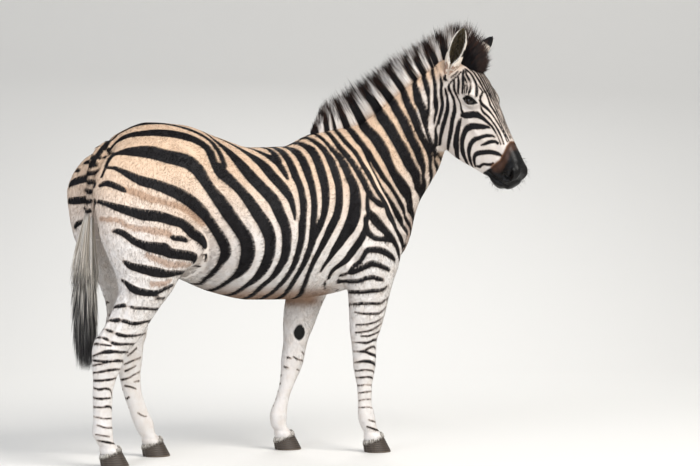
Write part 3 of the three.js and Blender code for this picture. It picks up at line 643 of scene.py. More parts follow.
def eye_axes(side):
    """An eye's middle, and its axes: along the slit towards the nose, across it upwards, and outwards."""
    c, s = math.cos(LID_TILT), math.sin(LID_TILT)
    slit = c * HEAD[1][0] + s * HEAD[1][2]
    outward = side * HEAD[1][1] + 0.16 * HEAD[1][0] + 0.10 * HEAD[1][2]
    outward -= (outward @ slit) * slit
    outward /= np.linalg.norm(outward)
    upward = -s * HEAD[1][0] + c * HEAD[1][2]
    upward -= (upward @ outward) * outward
    axes = np.stack([slit, upward / np.linalg.norm(upward), outward])
    return from_head(EYE[0], side * EYE[1], EYE[2]), axes


def slit_shape(a, b, long=27.5, over=14.5, under=10.5):
    """Distance from the eye's slit: above it an arc of height over, below it one of height under."""
    rise = np.clip(1 - (np.abs(a) / long) ** 2.2, 0, 1)
    skew = 1 + 0.12 * np.clip(-a / long, -1, 1)
    past = np.maximum(np.abs(a) - long, 0)
    return np.where(b > 0, b - over * rise * skew, -b - under * rise) + past


def shape_lids(points):
    """Lifts the skin to 3.2 mm over each eyeball, or 4.4 beside the slit, and sinks it inside the slit."""
    for side in (-1, 1):
        middle, axes = eye_axes(side)
        offset = points - middle
        a, b, c = (offset @ axes.T).T
        length = np.linalg.norm(offset, axis=1)
        near = (length < 60) & (c > 0)
        wanted = EYE_RADIUS + 3.2 + 1.2 * np.exp(-((slit_shape(a, b) - 2.5) / 3) ** 2)
        hold = np.clip(1.35 - length / 44, 0, 1) * np.clip(1.6 - np.hypot(a / 34, b / 26), 0, 1)
        lifted = length + np.maximum(wanted - length, 0) * np.clip(hold * 2.5, 0, 1)
        opened = np.clip((0.9 - slit_shape(a, b)) / 2.4, 0, 1)
        lifted += (EYE_RADIUS - 4 - lifted) * opened * (np.hypot(a, b) < 30)
        points = np.where(near[:, None], middle + offset * (lifted / length)[:, None], points)
    return points


skin_out = direction_out(skin_points)
stand = relief(skin_points, FACE_RELIEF, "face") + relief(skin_points, BODY_RELIEF, "flank")
ribs = np.clip((skin_points[:, 0] + 190) / 80, 0, 1) * np.clip((330 - skin_points[:, 0]) / 80, 0, 1)
ribs *= np.exp(-(((skin_points[:, 2] - 860) / 170) ** 2)) * (np.abs(skin_points[:, 1]) > 120)
stand += 0.9 * ribs * np.sin((skin_points[:, 0] + 0.25 * skin_points[:, 2]) / 7.4)
skin_points = shape_lids(skin_points + skin_out * stand[:, None])

# ---------------------------------------------------------------- the stripes
# Dark bands laid on each side in turn: fine ones over the face, bold ones down the neck and barrel that
# sweep back over the rump with brown shadow stripes between them, and short rings round the legs.
# Every line is (x, z, half width) on the flank, or (along, up, half width) on the face.

RUMP = [
    [(-640, 1120, 3), (-618, 1160, 6), (-590, 1195, 7), (-556, 1230, 7), (-520, 1258, 7), (-480, 1282, 9),
     (-450, 1291, 11), (-400, 1302, 13), (-350, 1303, 14), (-300, 1297, 13), (-250, 1281, 11),
     (-200, 1255, 10), (-178, 1233, 9), (-165, 1205, 10), (-157, 1170, 8), (-155, 1140, 9)],
    [(-575, 1180, 3), (-535, 1228, 6), (-505, 1250, 12), (-480, 1259, 15), (-450, 1263, 17),
     (-400, 1266, 19), (-350, 1264, 21), (-300, 1256, 22), (-250, 1239, 19),
     (-206, 1200, 16), (-196, 1150, 15),
     (-175, 1115, 24), (-150, 1090, 22), (-112, 1050, 18), (-74, 1000, 21), (-41, 950, 23), (-9, 900, 24),
     (8, 850, 21), (10, 800, 20), (2, 750, 19), (-18, 700, 14), (-42, 668, 9), (-55, 640, 9), (-60, 622, 9)],
    [(-640, 1095, 2), (-620, 1130, 3), (-600, 1160, 5), (-575, 1180, 8), (-550, 1188, 12), (-500, 1191, 20),
     (-450, 1189, 26), (-400, 1177, 27), (-350, 1165, 27), (-300, 1149, 27), (-270, 1122, 26),
     (-247, 1080, 21), (-228, 1050, 20), (-193, 1000, 24), (-160, 950, 24), (-123, 900, 23), (-88, 850, 25),
     (-76, 800, 26), (-79, 750, 22), (-92, 718, 14), (-108, 698, 9), (-124, 670, 8), (-131, 652, 8)],
    [(-617, 1131, 3), (-600, 1131, 4), (-575, 1121, 8), (-550, 1106, 12), (-500, 1080, 17), (-450, 1067, 18),
     (-400, 1048, 20), (-350, 1026, 22), (-300, 993, 22), (-267, 962, 19), (-247, 938, 16), (-218, 900, 16),
     (-182, 850, 18), (-162, 805, 18), (-172, 755, 10), (-192, 700, 7)],
    [(-650, 1064, 5), (-630, 1072, 9), (-600, 1061, 9), (-570, 1045, 7)],
    [(-656, 1003, 5), (-630, 993, 7), (-600, 981, 11), (-550, 965, 15), (-500, 952, 18), (-450, 948, 18),
     (-400, 934, 17), (-350, 919, 15), (-325, 902, 17), (-300, 880, 17), (-270, 863, 15), (-252, 843, 11),
     (-244, 828, 7)],
    [(-390, 868, 6), (-375, 863, 8), (-350, 862, 8), (-325, 853, 5)],
    [(-612, 892, 3), (-600, 892, 7), (-575, 882, 9), (-550, 861, 10), (-525, 847, 12), (-500, 837, 14),
     (-450, 827, 20), (-420, 822, 22), (-400, 808, 17), (-350, 801, 16), (-300, 794, 16), (-280, 785, 12),
     (-276, 770, 5)],
    [(-570, 777, 3), (-560, 772, 7), (-550, 762, 10), (-525, 753, 13), (-500, 747, 15), (-450, 736, 16),
     (-400, 728, 12), (-350, 731, 9), (-320, 734, 8)],
    [(-568, 706, 3), (-556, 698, 5), (-545, 684, 9), (-525, 669, 12), (-500, 661, 12), (-460, 656, 10),
     (-435, 659, 7), (-400, 673, 6), (-362, 685, 4)],
    [(-445, 634, 3), (-420, 635, 4), (-395, 634, 4)],
    [(-250, 798, 3), (-237, 800, 4), (-228, 780, 4), (-226, 770, 3)],
    [(-262, 755, 4), (-240, 753, 4)],
]
BARREL = [
    [(-158, 1247, 5), (-140, 1225, 11), (-118, 1200, 16), (-83, 1150, 24), (-50, 1100, 27), (-8, 1050, 24),
     (32, 1000, 24), (52, 950, 22), (70, 910, 20), (80, 850, 19), (80, 800, 18), (67, 750, 15),
     (52, 712, 11), (25, 675, 10), (13, 645, 9), (10, 622, 10)],
    [(-115, 1248, 4), (-70, 1225, 10), (-30, 1198, 15), (19, 1150, 23), (47, 1100, 22), (84, 1050, 20),
     (108, 1000, 12), (115, 960, 8), (118, 930, 3)],
    [(20, 1215, 6), (55, 1190, 10), (80, 1165, 14), (95, 1145, 14), (103, 1118, 11), (110, 1088, 4)],
    [(98, 1222, 8), (103, 1190, 10), (100, 1160, 12)],
    [(140, 1213, 10), (145, 1200, 14), (148, 1150, 15), (150, 1100, 16), (160, 1060, 14), (163, 1000, 15),
     (158, 950, 13), (150, 900, 16), (146, 850, 14), (138, 800, 13), (127, 750, 11), (110, 700, 10),
     (92, 660, 10), (80, 630, 12), (76, 615, 12)],
    [(190, 1213, 10), (202, 1200, 17), (209, 1150, 17), (211, 1100, 16), (216, 1050, 14), (216, 1000, 13),
     (209, 950, 13), (204, 900, 14), (203, 870, 17), (190, 810, 14), (172, 750, 11), (155, 700, 10),
     (148, 650, 10), (150, 618, 12)],
    [(240, 1236, 8), (252, 1218, 12), (263, 1200, 16), (270, 1150, 17), (274, 1100, 19), (277, 1050, 18),
     (273, 1000, 17), (260, 950, 14), (238, 905, 13), (215, 870, 14)],
    [(283, 1255, 6), (295, 1232, 8), (313, 1200, 11), (327, 1150, 15), (337, 1100, 16), (343, 1050, 15),
     (340, 1000, 16), (328, 950, 17), (298, 900, 18), (267, 850, 16), (238, 800, 13), (216, 750, 11),
     (209, 700, 9), (214, 660, 10), (226, 628, 12)],
]
SHOULDER = [
    [(322, 1262, 6), (333, 1235, 6), (351, 1200, 9), (373, 1150, 12), (391, 1100, 15), (409, 1050, 19),
     (413, 1000, 22), (406, 950, 24), (388, 900, 24), (356, 850, 21), (322, 808, 15), (298, 770, 9),
     (280, 745, 6), (270, 720, 3)],
    [(368, 1255, 8), (385, 1200, 10), (412, 1150, 11), (438, 1100, 12), (458, 1060, 12), (475, 1025, 12),
     (500, 1000, 10), (525, 985, 10), (545, 985, 8)],
    [(463, 1015, 6), (463, 1000, 6), (465, 965, 8), (478, 945, 14), (505, 918, 18), (525, 897, 16),
     (550, 872, 14), (573, 850, 12), (597, 820, 9), (609, 795, 8), (619, 772, 5)],
    [(456, 935, 8), (455, 910, 8), (457, 890, 11), (472, 868, 9), (500, 852, 8),
     (540, 848, 7), (570, 845, 8)],
    [(455, 895, 9), (436, 850, 11), (405, 800, 11), (385, 768, 10), (362, 748, 9), (340, 733, 9),
     (326, 712, 8), (325, 694, 5)],
    [(310, 682, 3), (320, 662, 3), (338, 645, 2)],
    [(377, 703, 4), (397, 716, 5), (412, 745, 5), (428, 760, 6), (445, 785, 6), (462, 808, 9), (500, 808, 11),
     (530, 800, 11), (560, 785, 10), (583, 768, 5)],
    [(405, 713, 4), (420, 724, 7), (450, 742, 8), (475, 755, 9), (500, 750, 9), (530, 738, 6), (553, 729, 6)],
    [(377, 685, 5), (387, 672, 6), (400, 681, 6), (430, 685, 6), (460, 697, 7), (480, 700, 6), (500, 694, 7),
     (530, 688, 4)],
    [(405, 1268, 9), (415, 1235, 11), (433, 1200, 12), (450, 1150, 11), (477, 1100, 11), (501, 1050, 9),
     (525, 1015, 9), (545, 988, 9), (560, 950, 13), (586, 917, 14), (602, 890, 12), (628, 850, 11),
     (643, 820, 10), (665, 825, 6), (690, 820, 5)],
    [(462, 1295, 14), (472, 1250, 17), (492, 1205, 16), (490, 1165, 8), (497, 1140, 6), (514, 1100, 6),
     (539, 1050, 8), (577, 1000, 10), (612, 950, 13), (638, 917, 12), (655, 897, 11), (675, 877, 8),
     (690, 862, 4)],
    [(500, 1200, 18), (522, 1150, 15), (549, 1100, 13), (591, 1050, 12), (630, 1000, 13), (663, 950, 12),
     (685, 915, 8)],
    [(653, 813, 6), (670, 827, 6), (695, 818, 5)],
    [(650, 790, 5), (675, 788, 4), (705, 780, 4)],
]
NECK_STRIPES = [
    [(538, 1330, 12), (524, 1300, 20), (552, 1250, 24), (577, 1200, 26), (596, 1150, 23), (621, 1100, 26),
     (663, 1050, 30), (702, 1000, 28), (705, 965, 16)],
    [(590, 1372, 14), (594, 1335, 22), (615, 1290, 22), (637, 1245, 22), (665, 1200, 25), (692, 1150, 24),
     (725, 1110, 22), (741, 1080, 23), (762, 1050, 22), (790, 1020, 20)],
    [(636, 1420, 12), (642, 1395, 17), (646, 1370, 17), (657, 1345, 17), (669, 1320, 18), (682, 1290, 19),
     (700, 1250, 17), (731, 1200, 18), (746, 1170, 18), (763, 1140, 13), (776, 1110, 12), (785, 1080, 11),
     (795, 1050, 12)],
    [(685, 1450, 11), (684, 1430, 13), (687, 1400, 14), (691, 1385, 14), (696, 1370, 14), (704, 1355, 16),
     (711, 1340, 16), (715, 1325, 16), (723, 1310, 16), (729, 1290, 15), (741, 1265, 13), (754, 1245, 13),
     (784, 1200, 13), (798, 1170, 11), (810, 1140, 11), (820, 1110, 10), (830, 1086, 10)],
    [(736, 1492, 6), (728, 1481, 8), (721, 1460, 10), (723, 1445, 13), (724, 1430, 15), (727, 1415, 16),
     (729, 1400, 17), (736, 1385, 16), (744, 1370, 16), (753, 1340, 15), (760, 1310, 13), (764, 1290, 8),
     (775, 1260, 7), (789, 1230, 8), (805, 1210, 8), (820, 1190, 9), (830, 1165, 8), (843, 1140, 9),
     (862, 1128, 8), (875, 1125, 6)],
    [(768, 1516, 4), (759, 1505, 8), (756, 1490, 10), (758, 1475, 10), (759, 1460, 11), (762, 1445, 10),
     (764, 1430, 8), (767, 1415, 5), (768, 1400, 4), (769, 1370, 4), (771, 1340, 4)],
    [(795, 1540, 4), (787, 1520, 6), (785, 1505, 6), (786, 1475, 6), (788, 1445, 6), (789, 1415, 6),
     (788, 1400, 6), (789, 1385, 5), (792, 1370, 5), (794, 1355, 4), (793, 1340, 4), (790, 1310, 2)],
    [(806, 1500, 2), (805, 1475, 3), (805, 1460, 3), (806, 1445, 2), (807, 1415, 2), (806, 1400, 3),
     (807, 1385, 3), (804, 1340, 2), (801, 1310, 3), (798, 1290, 3), (800, 1260, 4), (806, 1230, 5),
     (812, 1205, 5), (835, 1188, 5), (855, 1176, 6), (880, 1168, 6)],
]
FACE = [
    [(430, -102, 4), (430, -110, 5), (420, -129, 5), (408, -150, 5), (410, -165, 5), (402, -176, 5)],
    [(430, -52, 4), (416, -59, 6), (404, -69, 8), (392, -81, 9), (382, -95, 9), (375, -110, 9),
     (368, -124, 9), (362, -141, 9), (361, -153, 8), (368, -167, 7), (382, -177, 6), (397, -187, 4)],
    [(373, -43, 5), (363, -47, 6), (356, -57, 7), (351, -69, 7), (349, -81, 6),
     (347, -93, 5), (343, -110, 2)],
    [(346, -41, 3), (338, -45, 5), (330, -57, 6), (322, -71, 6), (318, -88, 8), (314, -105, 8),
     (310, -119, 9), (312, -136, 9), (318, -151, 9), (327, -163, 9), (339, -175, 8), (354, -184, 7),
     (368, -191, 7), (385, -199, 5), (392, -203, 4)],
    [(303, -39, 3), (296, -45, 5), (289, -57, 9), (279, -71, 11), (270, -86, 12), (262, -98, 13),
     (258, -112, 13), (258, -127, 12), (264, -141, 11), (274, -155, 10), (286, -170, 10), (301, -184, 9),
     (318, -196, 10), (334, -203, 9), (351, -208, 8), (366, -215, 8)],
    [(292, -32, 4), (279, -36, 5), (262, -41, 6), (248, -48, 9), (232, -58, 13), (222, -76, 13),
     (215, -91, 13), (207, -106, 11), (203, -112, 8)],
    [(207, -103, 8), (196, -103, 6), (184, -104, 4), (174, -101, 3), (164, -97, 2), (150, -94, 2),
     (138, -94, 3), (126, -94, 3), (112, -94, 4), (97, -93, 5), (83, -88, 5), (71, -81, 4), (59, -74, 3)],
    [(160, 8, 3), (172, 3, 3), (184, -4, 5), (196, -11, 6), (210, -15, 6), (222, -14, 6), (234, -10, 5),
     (246, -8, 4), (270, -6, 3), (296, -6, 3), (344, -6, 2), (385, -9, 2)],
    [(215, -23, 2), (220, -27, 3), (232, -31, 4), (241, -28, 4), (251, -25, 4), (265, -21, 4), (282, -19, 3),
     (320, -17, 3), (344, -18, 3), (368, -20, 2), (387, -23, 2)],
    [(292, -32, 4), (301, -29, 4), (320, -29, 3), (344, -29, 2), (366, -31, 2), (382, -34, 2)],
    [(155, -36, 3), (146, -31, 6), (126, -19, 6), (112, -17, 6), (98, -18, 5), (80, -20, 4), (60, -22, 3),
     (42, -20, 2)],
    [(140, -45, 3), (126, -38, 4), (112, -33, 4), (98, -32, 4), (84, -32, 3), (70, -31, 2)],
    [(133, -56, 3), (120, -50, 3), (106, -44, 3), (96, -42, 2)],
    [(126, -67, 4), (114, -59, 5), (102, -52, 5), (88, -45, 5), (71, -38, 5), (54, -31, 4), (40, -27, 3)],
    [(118, -83, 3), (107, -79, 5), (95, -71, 5), (83, -64, 5), (68, -58, 4), (61, -55, 3)],
    [(44, -38, 3), (54, -57, 3), (56, -76, 3), (61, -93, 3)],
    [(35, -47, 2), (42, -64, 3), (44, -81, 3)],
    [(22, -96, 3), (30, -105, 6), (38, -107, 5), (48, -100, 2)],
    [(64, -100, 3), (78, -111, 5), (102, -113, 5), (126, -112, 5), (138, -116, 5), (155, -124, 7),
     (172, -134, 9), (184, -148, 9), (198, -163, 9), (217, -179, 9), (234, -196, 9), (251, -215, 8),
     (265, -235, 7), (275, -251, 6), (276, -263, 5)],
    [(212, -126, 3), (214, -130, 7), (231, -150, 9), (255, -175, 10), (279, -199, 12), (296, -215, 12),
     (308, -227, 12), (324, -240, 10)],
    [(71, -124, 3), (92, -131, 5), (114, -139, 6), (133, -148, 7), (150, -160, 8), (164, -175, 9),
     (179, -191, 9), (193, -211, 9), (210, -230, 8), (224, -247, 7), (239, -263, 6), (248, -278, 4)],
    [(30, -121, 5), (44, -124, 6), (61, -136, 5), (80, -148, 5), (102, -158, 6), (124, -170, 7),
     (138, -184, 7), (152, -199, 6), (167, -213, 4), (179, -223, 2)],
    [(30, -146, 6), (49, -155, 7), (68, -167, 7), (90, -177, 7), (112, -189, 7), (131, -203, 7),
     (145, -218, 5), (155, -227, 3)],
    [(184, -242, 3), (198, -251, 4), (217, -261, 5), (234, -275, 4), (246, -287, 3)],
]
NOSE = [  # (along, across, half width) on the forehead and down the bridge of the nose
    [(60, 0, 2), (100, 0, 3), (140, 0, 4), (190, 0, 3), (240, 0, 2)],
    [(46, 10, 2), (85, 13, 4), (125, 15, 4), (165, 14, 4), (200, 12, 3), (230, 9, 2), (280, 6, 2),
     (330, 3, 1.6), (372, 2, 1.4)],
    [(38, 20, 2), (75, 26, 4), (115, 29, 4), (150, 28, 4), (185, 24, 4), (196, 25, 3), (244, 20, 3),
     (280, 17, 3), (312, 14, 2), (348, 11, 2), (376, 10, 1.6)],
    [(34, 30, 2), (70, 39, 4), (105, 43, 4), (140, 43, 4), (172, 38, 4), (200, 38, 4), (220, 40, 4),
     (244, 34, 4), (280, 28, 3), (320, 25, 3), (386, 23, 2)],
    [(36, 43, 3), (70, 52, 4), (96, 55, 4), (114, 58, 5), (128, 65, 5), (140, 73, 6), (152, 81, 6),
     (164, 88, 6), (173, 92, 5)],
    [(128, 57, 2), (145, 57, 4), (160, 54, 3)],
]
FORE_RINGS = [
    [(418, 641, 6), (450, 642, 6), (486, 646, 6), (517, 646, 6), (533, 651, 4), (547, 659, 3)],
    [(423, 593, 4), (450, 596, 5), (477, 596, 4), (508, 594, 5), (535, 600, 4), (558, 612, 3)],
    [(440, 558, 3), (454, 555, 4), (481, 555, 4), (517, 555, 4), (535, 563, 3), (551, 573, 2)],
    [(445, 512, 3), (468, 513, 3), (490, 518, 3), (513, 524, 3), (533, 533, 2)],
    [(445, 482, 3), (468, 485, 3), (490, 491, 3), (513, 501, 3), (538, 512, 3)],
    [(463, 466, 3), (477, 466, 3), (495, 471, 3), (517, 477, 3), (535, 483, 3), (548, 489, 2)],
    [(439, 441, 2), (452, 441, 3), (468, 439, 4), (490, 444, 4), (508, 451, 4), (538, 449, 3)],
    [(466, 411, 3), (484, 419, 4), (504, 425, 4), (517, 419, 2)],
    [(434, 405, 2), (450, 405, 4), (468, 404, 5), (490, 395, 5), (517, 388, 5), (533, 385, 4)],
    [(440, 362, 3), (463, 367, 5), (486, 365, 6), (508, 356, 6), (531, 348, 4)],
    [(441, 327, 3), (468, 331, 3), (495, 329, 3), (526, 318, 3)],
    [(448, 299, 3), (468, 302, 3), (490, 302, 3), (522, 293, 3)],
    [(454, 268, 3), (472, 271, 2), (517, 269, 2)],
    [(463, 240, 2), (477, 243, 3), (499, 244, 2)],
    [(463, 210, 2), (481, 214, 2), (495, 214, 1)],
    [(468, 182, 2), (486, 184, 2), (502, 181, 1)],
    [(505, 128, 2), (520, 124, 2), (534, 118, 1)],
    [(500, 100, 3), (520, 94, 4), (548, 88, 3)],
]
HIND_RINGS = [
    [(-582, 607, 5), (-565, 612, 7), (-545, 607, 5), (-520, 601, 5), (-495, 600, 5), (-460, 596, 4),
     (-420, 594, 4), (-400, 591, 3)],
    [(-607, 555, 5), (-580, 557, 8), (-555, 551, 7), (-535, 544, 6), (-510, 542, 6), (-480, 546, 5),
     (-440, 550, 4)],
    [(-620, 520, 4), (-600, 512, 6), (-575, 501, 6), (-545, 496, 5), (-510, 496, 4), (-472, 500, 3)],
    [(-645, 492, 4), (-625, 486, 5), (-605, 472, 6), (-580, 466, 5), (-550, 465, 4), (-510, 463, 3)],
    [(-661, 469, 4), (-645, 467, 4), (-627, 464, 3)],
    [(-667, 427, 3), (-650, 435, 4), (-630, 439, 7), (-600, 439, 6), (-570, 435, 4), (-540, 434, 3)],
    [(-667, 405, 4), (-640, 404, 3), (-620, 402, 4), (-590, 404, 5), (-560, 401, 4)],
    [(-665, 389, 3), (-635, 397, 3)],
    [(-667, 360, 3), (-645, 364, 4), (-620, 368, 5), (-595, 371, 4), (-572, 370, 2)],
    [(-662, 330, 4), (-640, 330, 4), (-615, 332, 4), (-592, 335, 3)],
    [(-664, 300, 3), (-650, 296, 4), (-630, 300, 4), (-610, 296, 3), (-600, 285, 2), (-595, 270, 2)],
    [(-664, 264, 3), (-645, 261, 4), (-620, 262, 3)],
    [(-665, 230, 3), (-640, 228, 3), (-615, 232, 4), (-589, 220, 3)],
    [(-655, 191, 2), (-630, 186, 2), (-600, 185, 2)],
    [(-645, 158, 2), (-625, 152, 2), (-596, 150, 2)],
    [(-650, 124, 2), (-625, 120, 2)],
    [(-640, 100, 3), (-618, 96, 4), (-596, 92, 3)],
]
THIGH_INSIDE = [
    [(-385, 718, 6), (-350, 722, 9), (-315, 718, 10), (-280, 716, 8)],
    [(-400, 652, 4), (-360, 650, 9), (-330, 642, 10), (-305, 640, 7)],
    [(-415, 592, 3), (-390, 585, 6), (-360, 582, 6), (-325, 582, 6)],
    [(-455, 525, 4), (-440, 530, 7), (-420, 527, 7), (-395, 522, 5), (-370, 525, 5), (-330, 529, 5)],
    [(-477, 492, 4), (-465, 485, 6), (-440, 479, 5), (-410, 476, 4), (-380, 477, 4), (-347, 485, 2)],
    [(-500, 462, 6), (-485, 452, 6), (-460, 446, 5), (-435, 443, 4), (-410, 443, 2)],
    [(-485, 415, 5), (-460, 413, 5), (-432, 415, 3)],
    [(-470, 380, 6), (-450, 380, 3)],
    [(-430, 400, 2), (-410, 415, 3), (-392, 430, 2)],
    [(-442, 366, 2), (-410, 380, 3), (-370, 391, 2)],
    [(-437, 340, 4), (-420, 347, 3), (-395, 360, 2)],
    [(-447, 305, 4), (-425, 312, 3), (-400, 325, 2), (-370, 336, 2)],
    [(-400, 297, 2), (-375, 300, 2)],
    [(-437, 282, 3), (-420, 279, 3), (-392, 269, 2)],
    [(-427, 230, 3), (-421, 237, 3)],
    [(-385, 175, 2), (-360, 162, 2), (-350, 162, 2)],
]
FORELEG_INSIDE = [
    [(278, 374, 2), (300, 362, 2), (325, 357, 2), (338, 340, 2)],
    [(256, 372, 3), (268, 368, 2)],
    [(246, 334, 3), (258, 330, 2)],
    [(318, 392, 2), (334, 380, 2)],
    [(296, 322, 2), (312, 316, 1)],
]
SHADOWS = [
    [(-570, 1048, 8), (-540, 1040, 8), (-500, 1023, 9), (-460, 1010, 8), (-420, 1000, 7), (-380, 990, 7),
     (-340, 972, 8), (-300, 950, 8), (-260, 915, 7)],
    [(-648, 938, 6), (-600, 933, 5), (-550, 905, 6), (-500, 898, 7), (-450, 890, 9), (-400, 880, 8)],
    [(-490, 800, 5), (-450, 785, 7), (-410, 768, 8), (-370, 762, 8), (-330, 764, 6), (-300, 762, 5)],
    [(-465, 693, 5), (-440, 691, 6), (-410, 693, 5), (-380, 702, 3)],
]


REAR = [  # (outwards, z, half width), seen from behind
    [(34, 1172, 3), (62, 1160, 6), (92, 1150, 5)],
    [(30, 1118, 3), (60, 1098, 10), (95, 1080, 12), (130, 1068, 9)],
    [(26, 1032, 3), (60, 1014, 10), (100, 1003, 12), (140, 1002, 8)],
    [(84, 926, 4), (106, 916, 7), (130, 900, 4)],
]
MANE_SUNK = 2  # how far the mane's roots lie below the neck's own top line


def on_neck_top(t):
    """The place on the neck's top line at a distance along the neck, lowered by MANE_SUNK."""
    top, _, side, _ = at_rows(NECK_ROWS, np.array([float(t)]))[0]
    return NECK[0] + np.array([t, side, top]) @ NECK[1] - [0, 0, MANE_SUNK]


CREST = [  # root x, y, z, tip x, y, z and thickness, at the withers
    (318, 0, 1262, 315, 0, 1278, 0.4), (345, 0, 1262, 341, 0, 1345, 0.8), (392, 0, 1263, 366, 0, 1402, 1),
]
CREST += [
    (*on_neck_top(t), *tip, thick)
    for t, tip, thick in [
        (205, (394, -1, 1421), 1), (280, (440, -8, 1456), 1), (389, (513, -32, 1506), 1),
        (472, (583, -54, 1554), 1), (535, (640, -76, 1595), 1), (618, (730, -104, 1649), 1),
        (667, (803, -117, 1680), 0.9),
    ]
]
CREST += [(880, -133, 1575, 880, -132, 1708, 0.85)]
CREST += [
    (*from_head(s, 0.0, n), *from_head(s2, 0.0, n2), thick)
    for s, n, s2, n2, thick in [
        (-24, -34, -116, 55, 0.85), (-4, -24, -65, 77, 0.95), (16, -18, -19, 93, 1.1),
        (38, -7, 32, 79, 1.15), (56, 3, 62, 54, 1.05), (70, 9, 76, 22, 0.7),
    ]
]


def carry_on(start, met, lift):
    """Short bands from laid ends to points on the middle line, bowed outwards by lift on the way."""
    halfway = settle(flesh, 0.5 * (start[:, :3] + met) + lift, -COAT_DEPTH, 4)
    half = start[:, 3:]
    return list(np.stack([start, np.hstack([halfway, half * 0.95]), np.hstack([met, half * 0.85])], 1))


def close_over(lines):
    """Bands that start at the back or end at the belly, carried on to the middle plane."""
    ends = [(*line[0], *line[1], 1) for line in lines] + [(*line[-1], *line[-2], -1) for line in lines]
    x, z, half, x2, _, _, rise = np.array(ends, float).T
    top = np.stack([x + 0.4 * (x - x2), 0 * x, np.where(rise > 0, 1500, 300)], 1)
    met = march(top, np.stack([0 * x, 0 * x, -rise], 1))
    chosen = np.abs(met[:, 2] - z) < np.where(rise > 0, 75, 45)
    pairs = lay([[end[:3], (end[0] + 0.1, *end[1:3])] for end in np.array(ends)[chosen]], "flank")
    start = np.stack([pair[0] for pair in pairs])
    return carry_on(start, np.repeat(met[chosen], 2, 0), np.outer(np.repeat(rise[chosen], 2), (0, 0, 25)))


def up_to_crest(lines):
    """Bands of the neck, carried on from their upper ends to the nearest place on the crest."""
    crest = at_rows(np.column_stack([np.arange(len(CREST)), CREST]), np.linspace(0, 12, 300))
    aim = np.array([(2 * a[0] - b[0], 2 * a[1] - b[1]) for a, b, *_ in lines], float)
    near = ((crest[None, :, [0, 2]] - aim[:, None]) ** 2).sum(2).argmin(1)
    root, tip = crest[near, :3], crest[near, 3:6]
    met = march(tip, (root - tip) / np.linalg.norm(root - tip, axis=1)[:, None])
    pairs = lay([[line[0], (line[0][0] + 0.1, *line[0][1:])] for line in lines], "flank")
    return carry_on(np.stack([pair[0] for pair in pairs]), np.repeat(met, 2, 0), np.array([0, 0, 20]))


def longer(lines, by):
    """Each line carried on past both its ends by a distance, so that it goes round the leg."""
    more = []
    for line in lines:
        line = np.array(line, float)
        ends = []
        for a, b in ((line[0], line[1]), (line[-1], line[-2])):
            way = (a - b)[:2] / np.linalg.norm((a - b)[:2])
            ends.append([*(a[:2] + way * by), a[2] * 0.8])
        more.append(np.vstack([ends[0], line, ends[1]]))
    return more


def round_the_front(lines):
    """Bands of the neck and chest, carried on from their lower ends to the middle of the front."""
    last = np.array([line[-1] for line in lines], float)
    aim = (last + 0.6 * (last - np.array([line[-2] for line in lines], float)))[:, :2]
    t = (aim - NECK[0][[0, 2]]) @ NECK[1][0][[0, 2]]
    way = np.tile([-0.75, 0.0, 0.66], (len(lines), 1))
    start = np.stack([aim[:, 0], at_rows(NECK_ROWS, t)[:, 2], aim[:, 1]], 1) - 300 * way
    met = march(start, way)
    pairs = lay([[line[-1], (line[-1][0] + 0.1, *line[-1][1:])] for line in lines], "flank")
    return carry_on(np.stack([pair[0] for pair in pairs]), np.repeat(met, 2, 0), np.array([25, 0, -22]))


def spine_line(x, half):
    """A line along the middle of the back."""
    top = np.stack([x, 0 * x, 0 * x + 1500], 1)
    return np.column_stack([march(top, np.tile([0, 0, -1.0], (len(x), 1))), half + 0 * x])


def tail_bars():
    """Bars across the dock, 36 mm apart, widest behind."""
    bars = []
    for z in np.arange(900, 1190, 36.0):
        angle = np.linspace(-2.0, 2.0, 9)
        middle = np.interp(z, [835, 955, 1095, 1156, 1197], [-640, -627, -615, -606, -582])
        start = np.stack([middle - 60 * np.cos(angle), 60 * np.sin(angle), z + 4 * np.sin(angle * 2)], 1)
        bars.append(np.column_stack([settle(flesh, start, -COAT_DEPTH, 8), 7 - 1.6 * np.abs(angle)]))
    return bars


dark_lines = lay(RUMP + BARREL + SHOULDER + NECK_STRIPES + longer(FORE_RINGS + HIND_RINGS, 15), "flank")
dark_lines += lay(FACE, "face") + lay(NOSE, "nose") + lay(REAR, "rear")
dark_lines += lay(THIGH_INSIDE + FORELEG_INSIDE, "inner")
dark_lines += close_over(RUMP[1:4] + BARREL + SHOULDER[:2] + SHOULDER[9:11])
dark_lines += up_to_crest(SHOULDER[10:11] + NECK_STRIPES)
dark_lines += round_the_front(NECK_STRIPES[:5] + SHOULDER[11:12])
dark_lines += [spine_line(np.arange(-545, 330, 15.0), 6.0)] + tail_bars()
shadow_lines = lay(SHADOWS, "flank")


def ramp(value, low, high):
    """Smooth rise from 0 at low to 1 at high."""
    t = np.clip((value - low) / (high - low), 0, 1)
    return t * t * (3 - 2 * t)


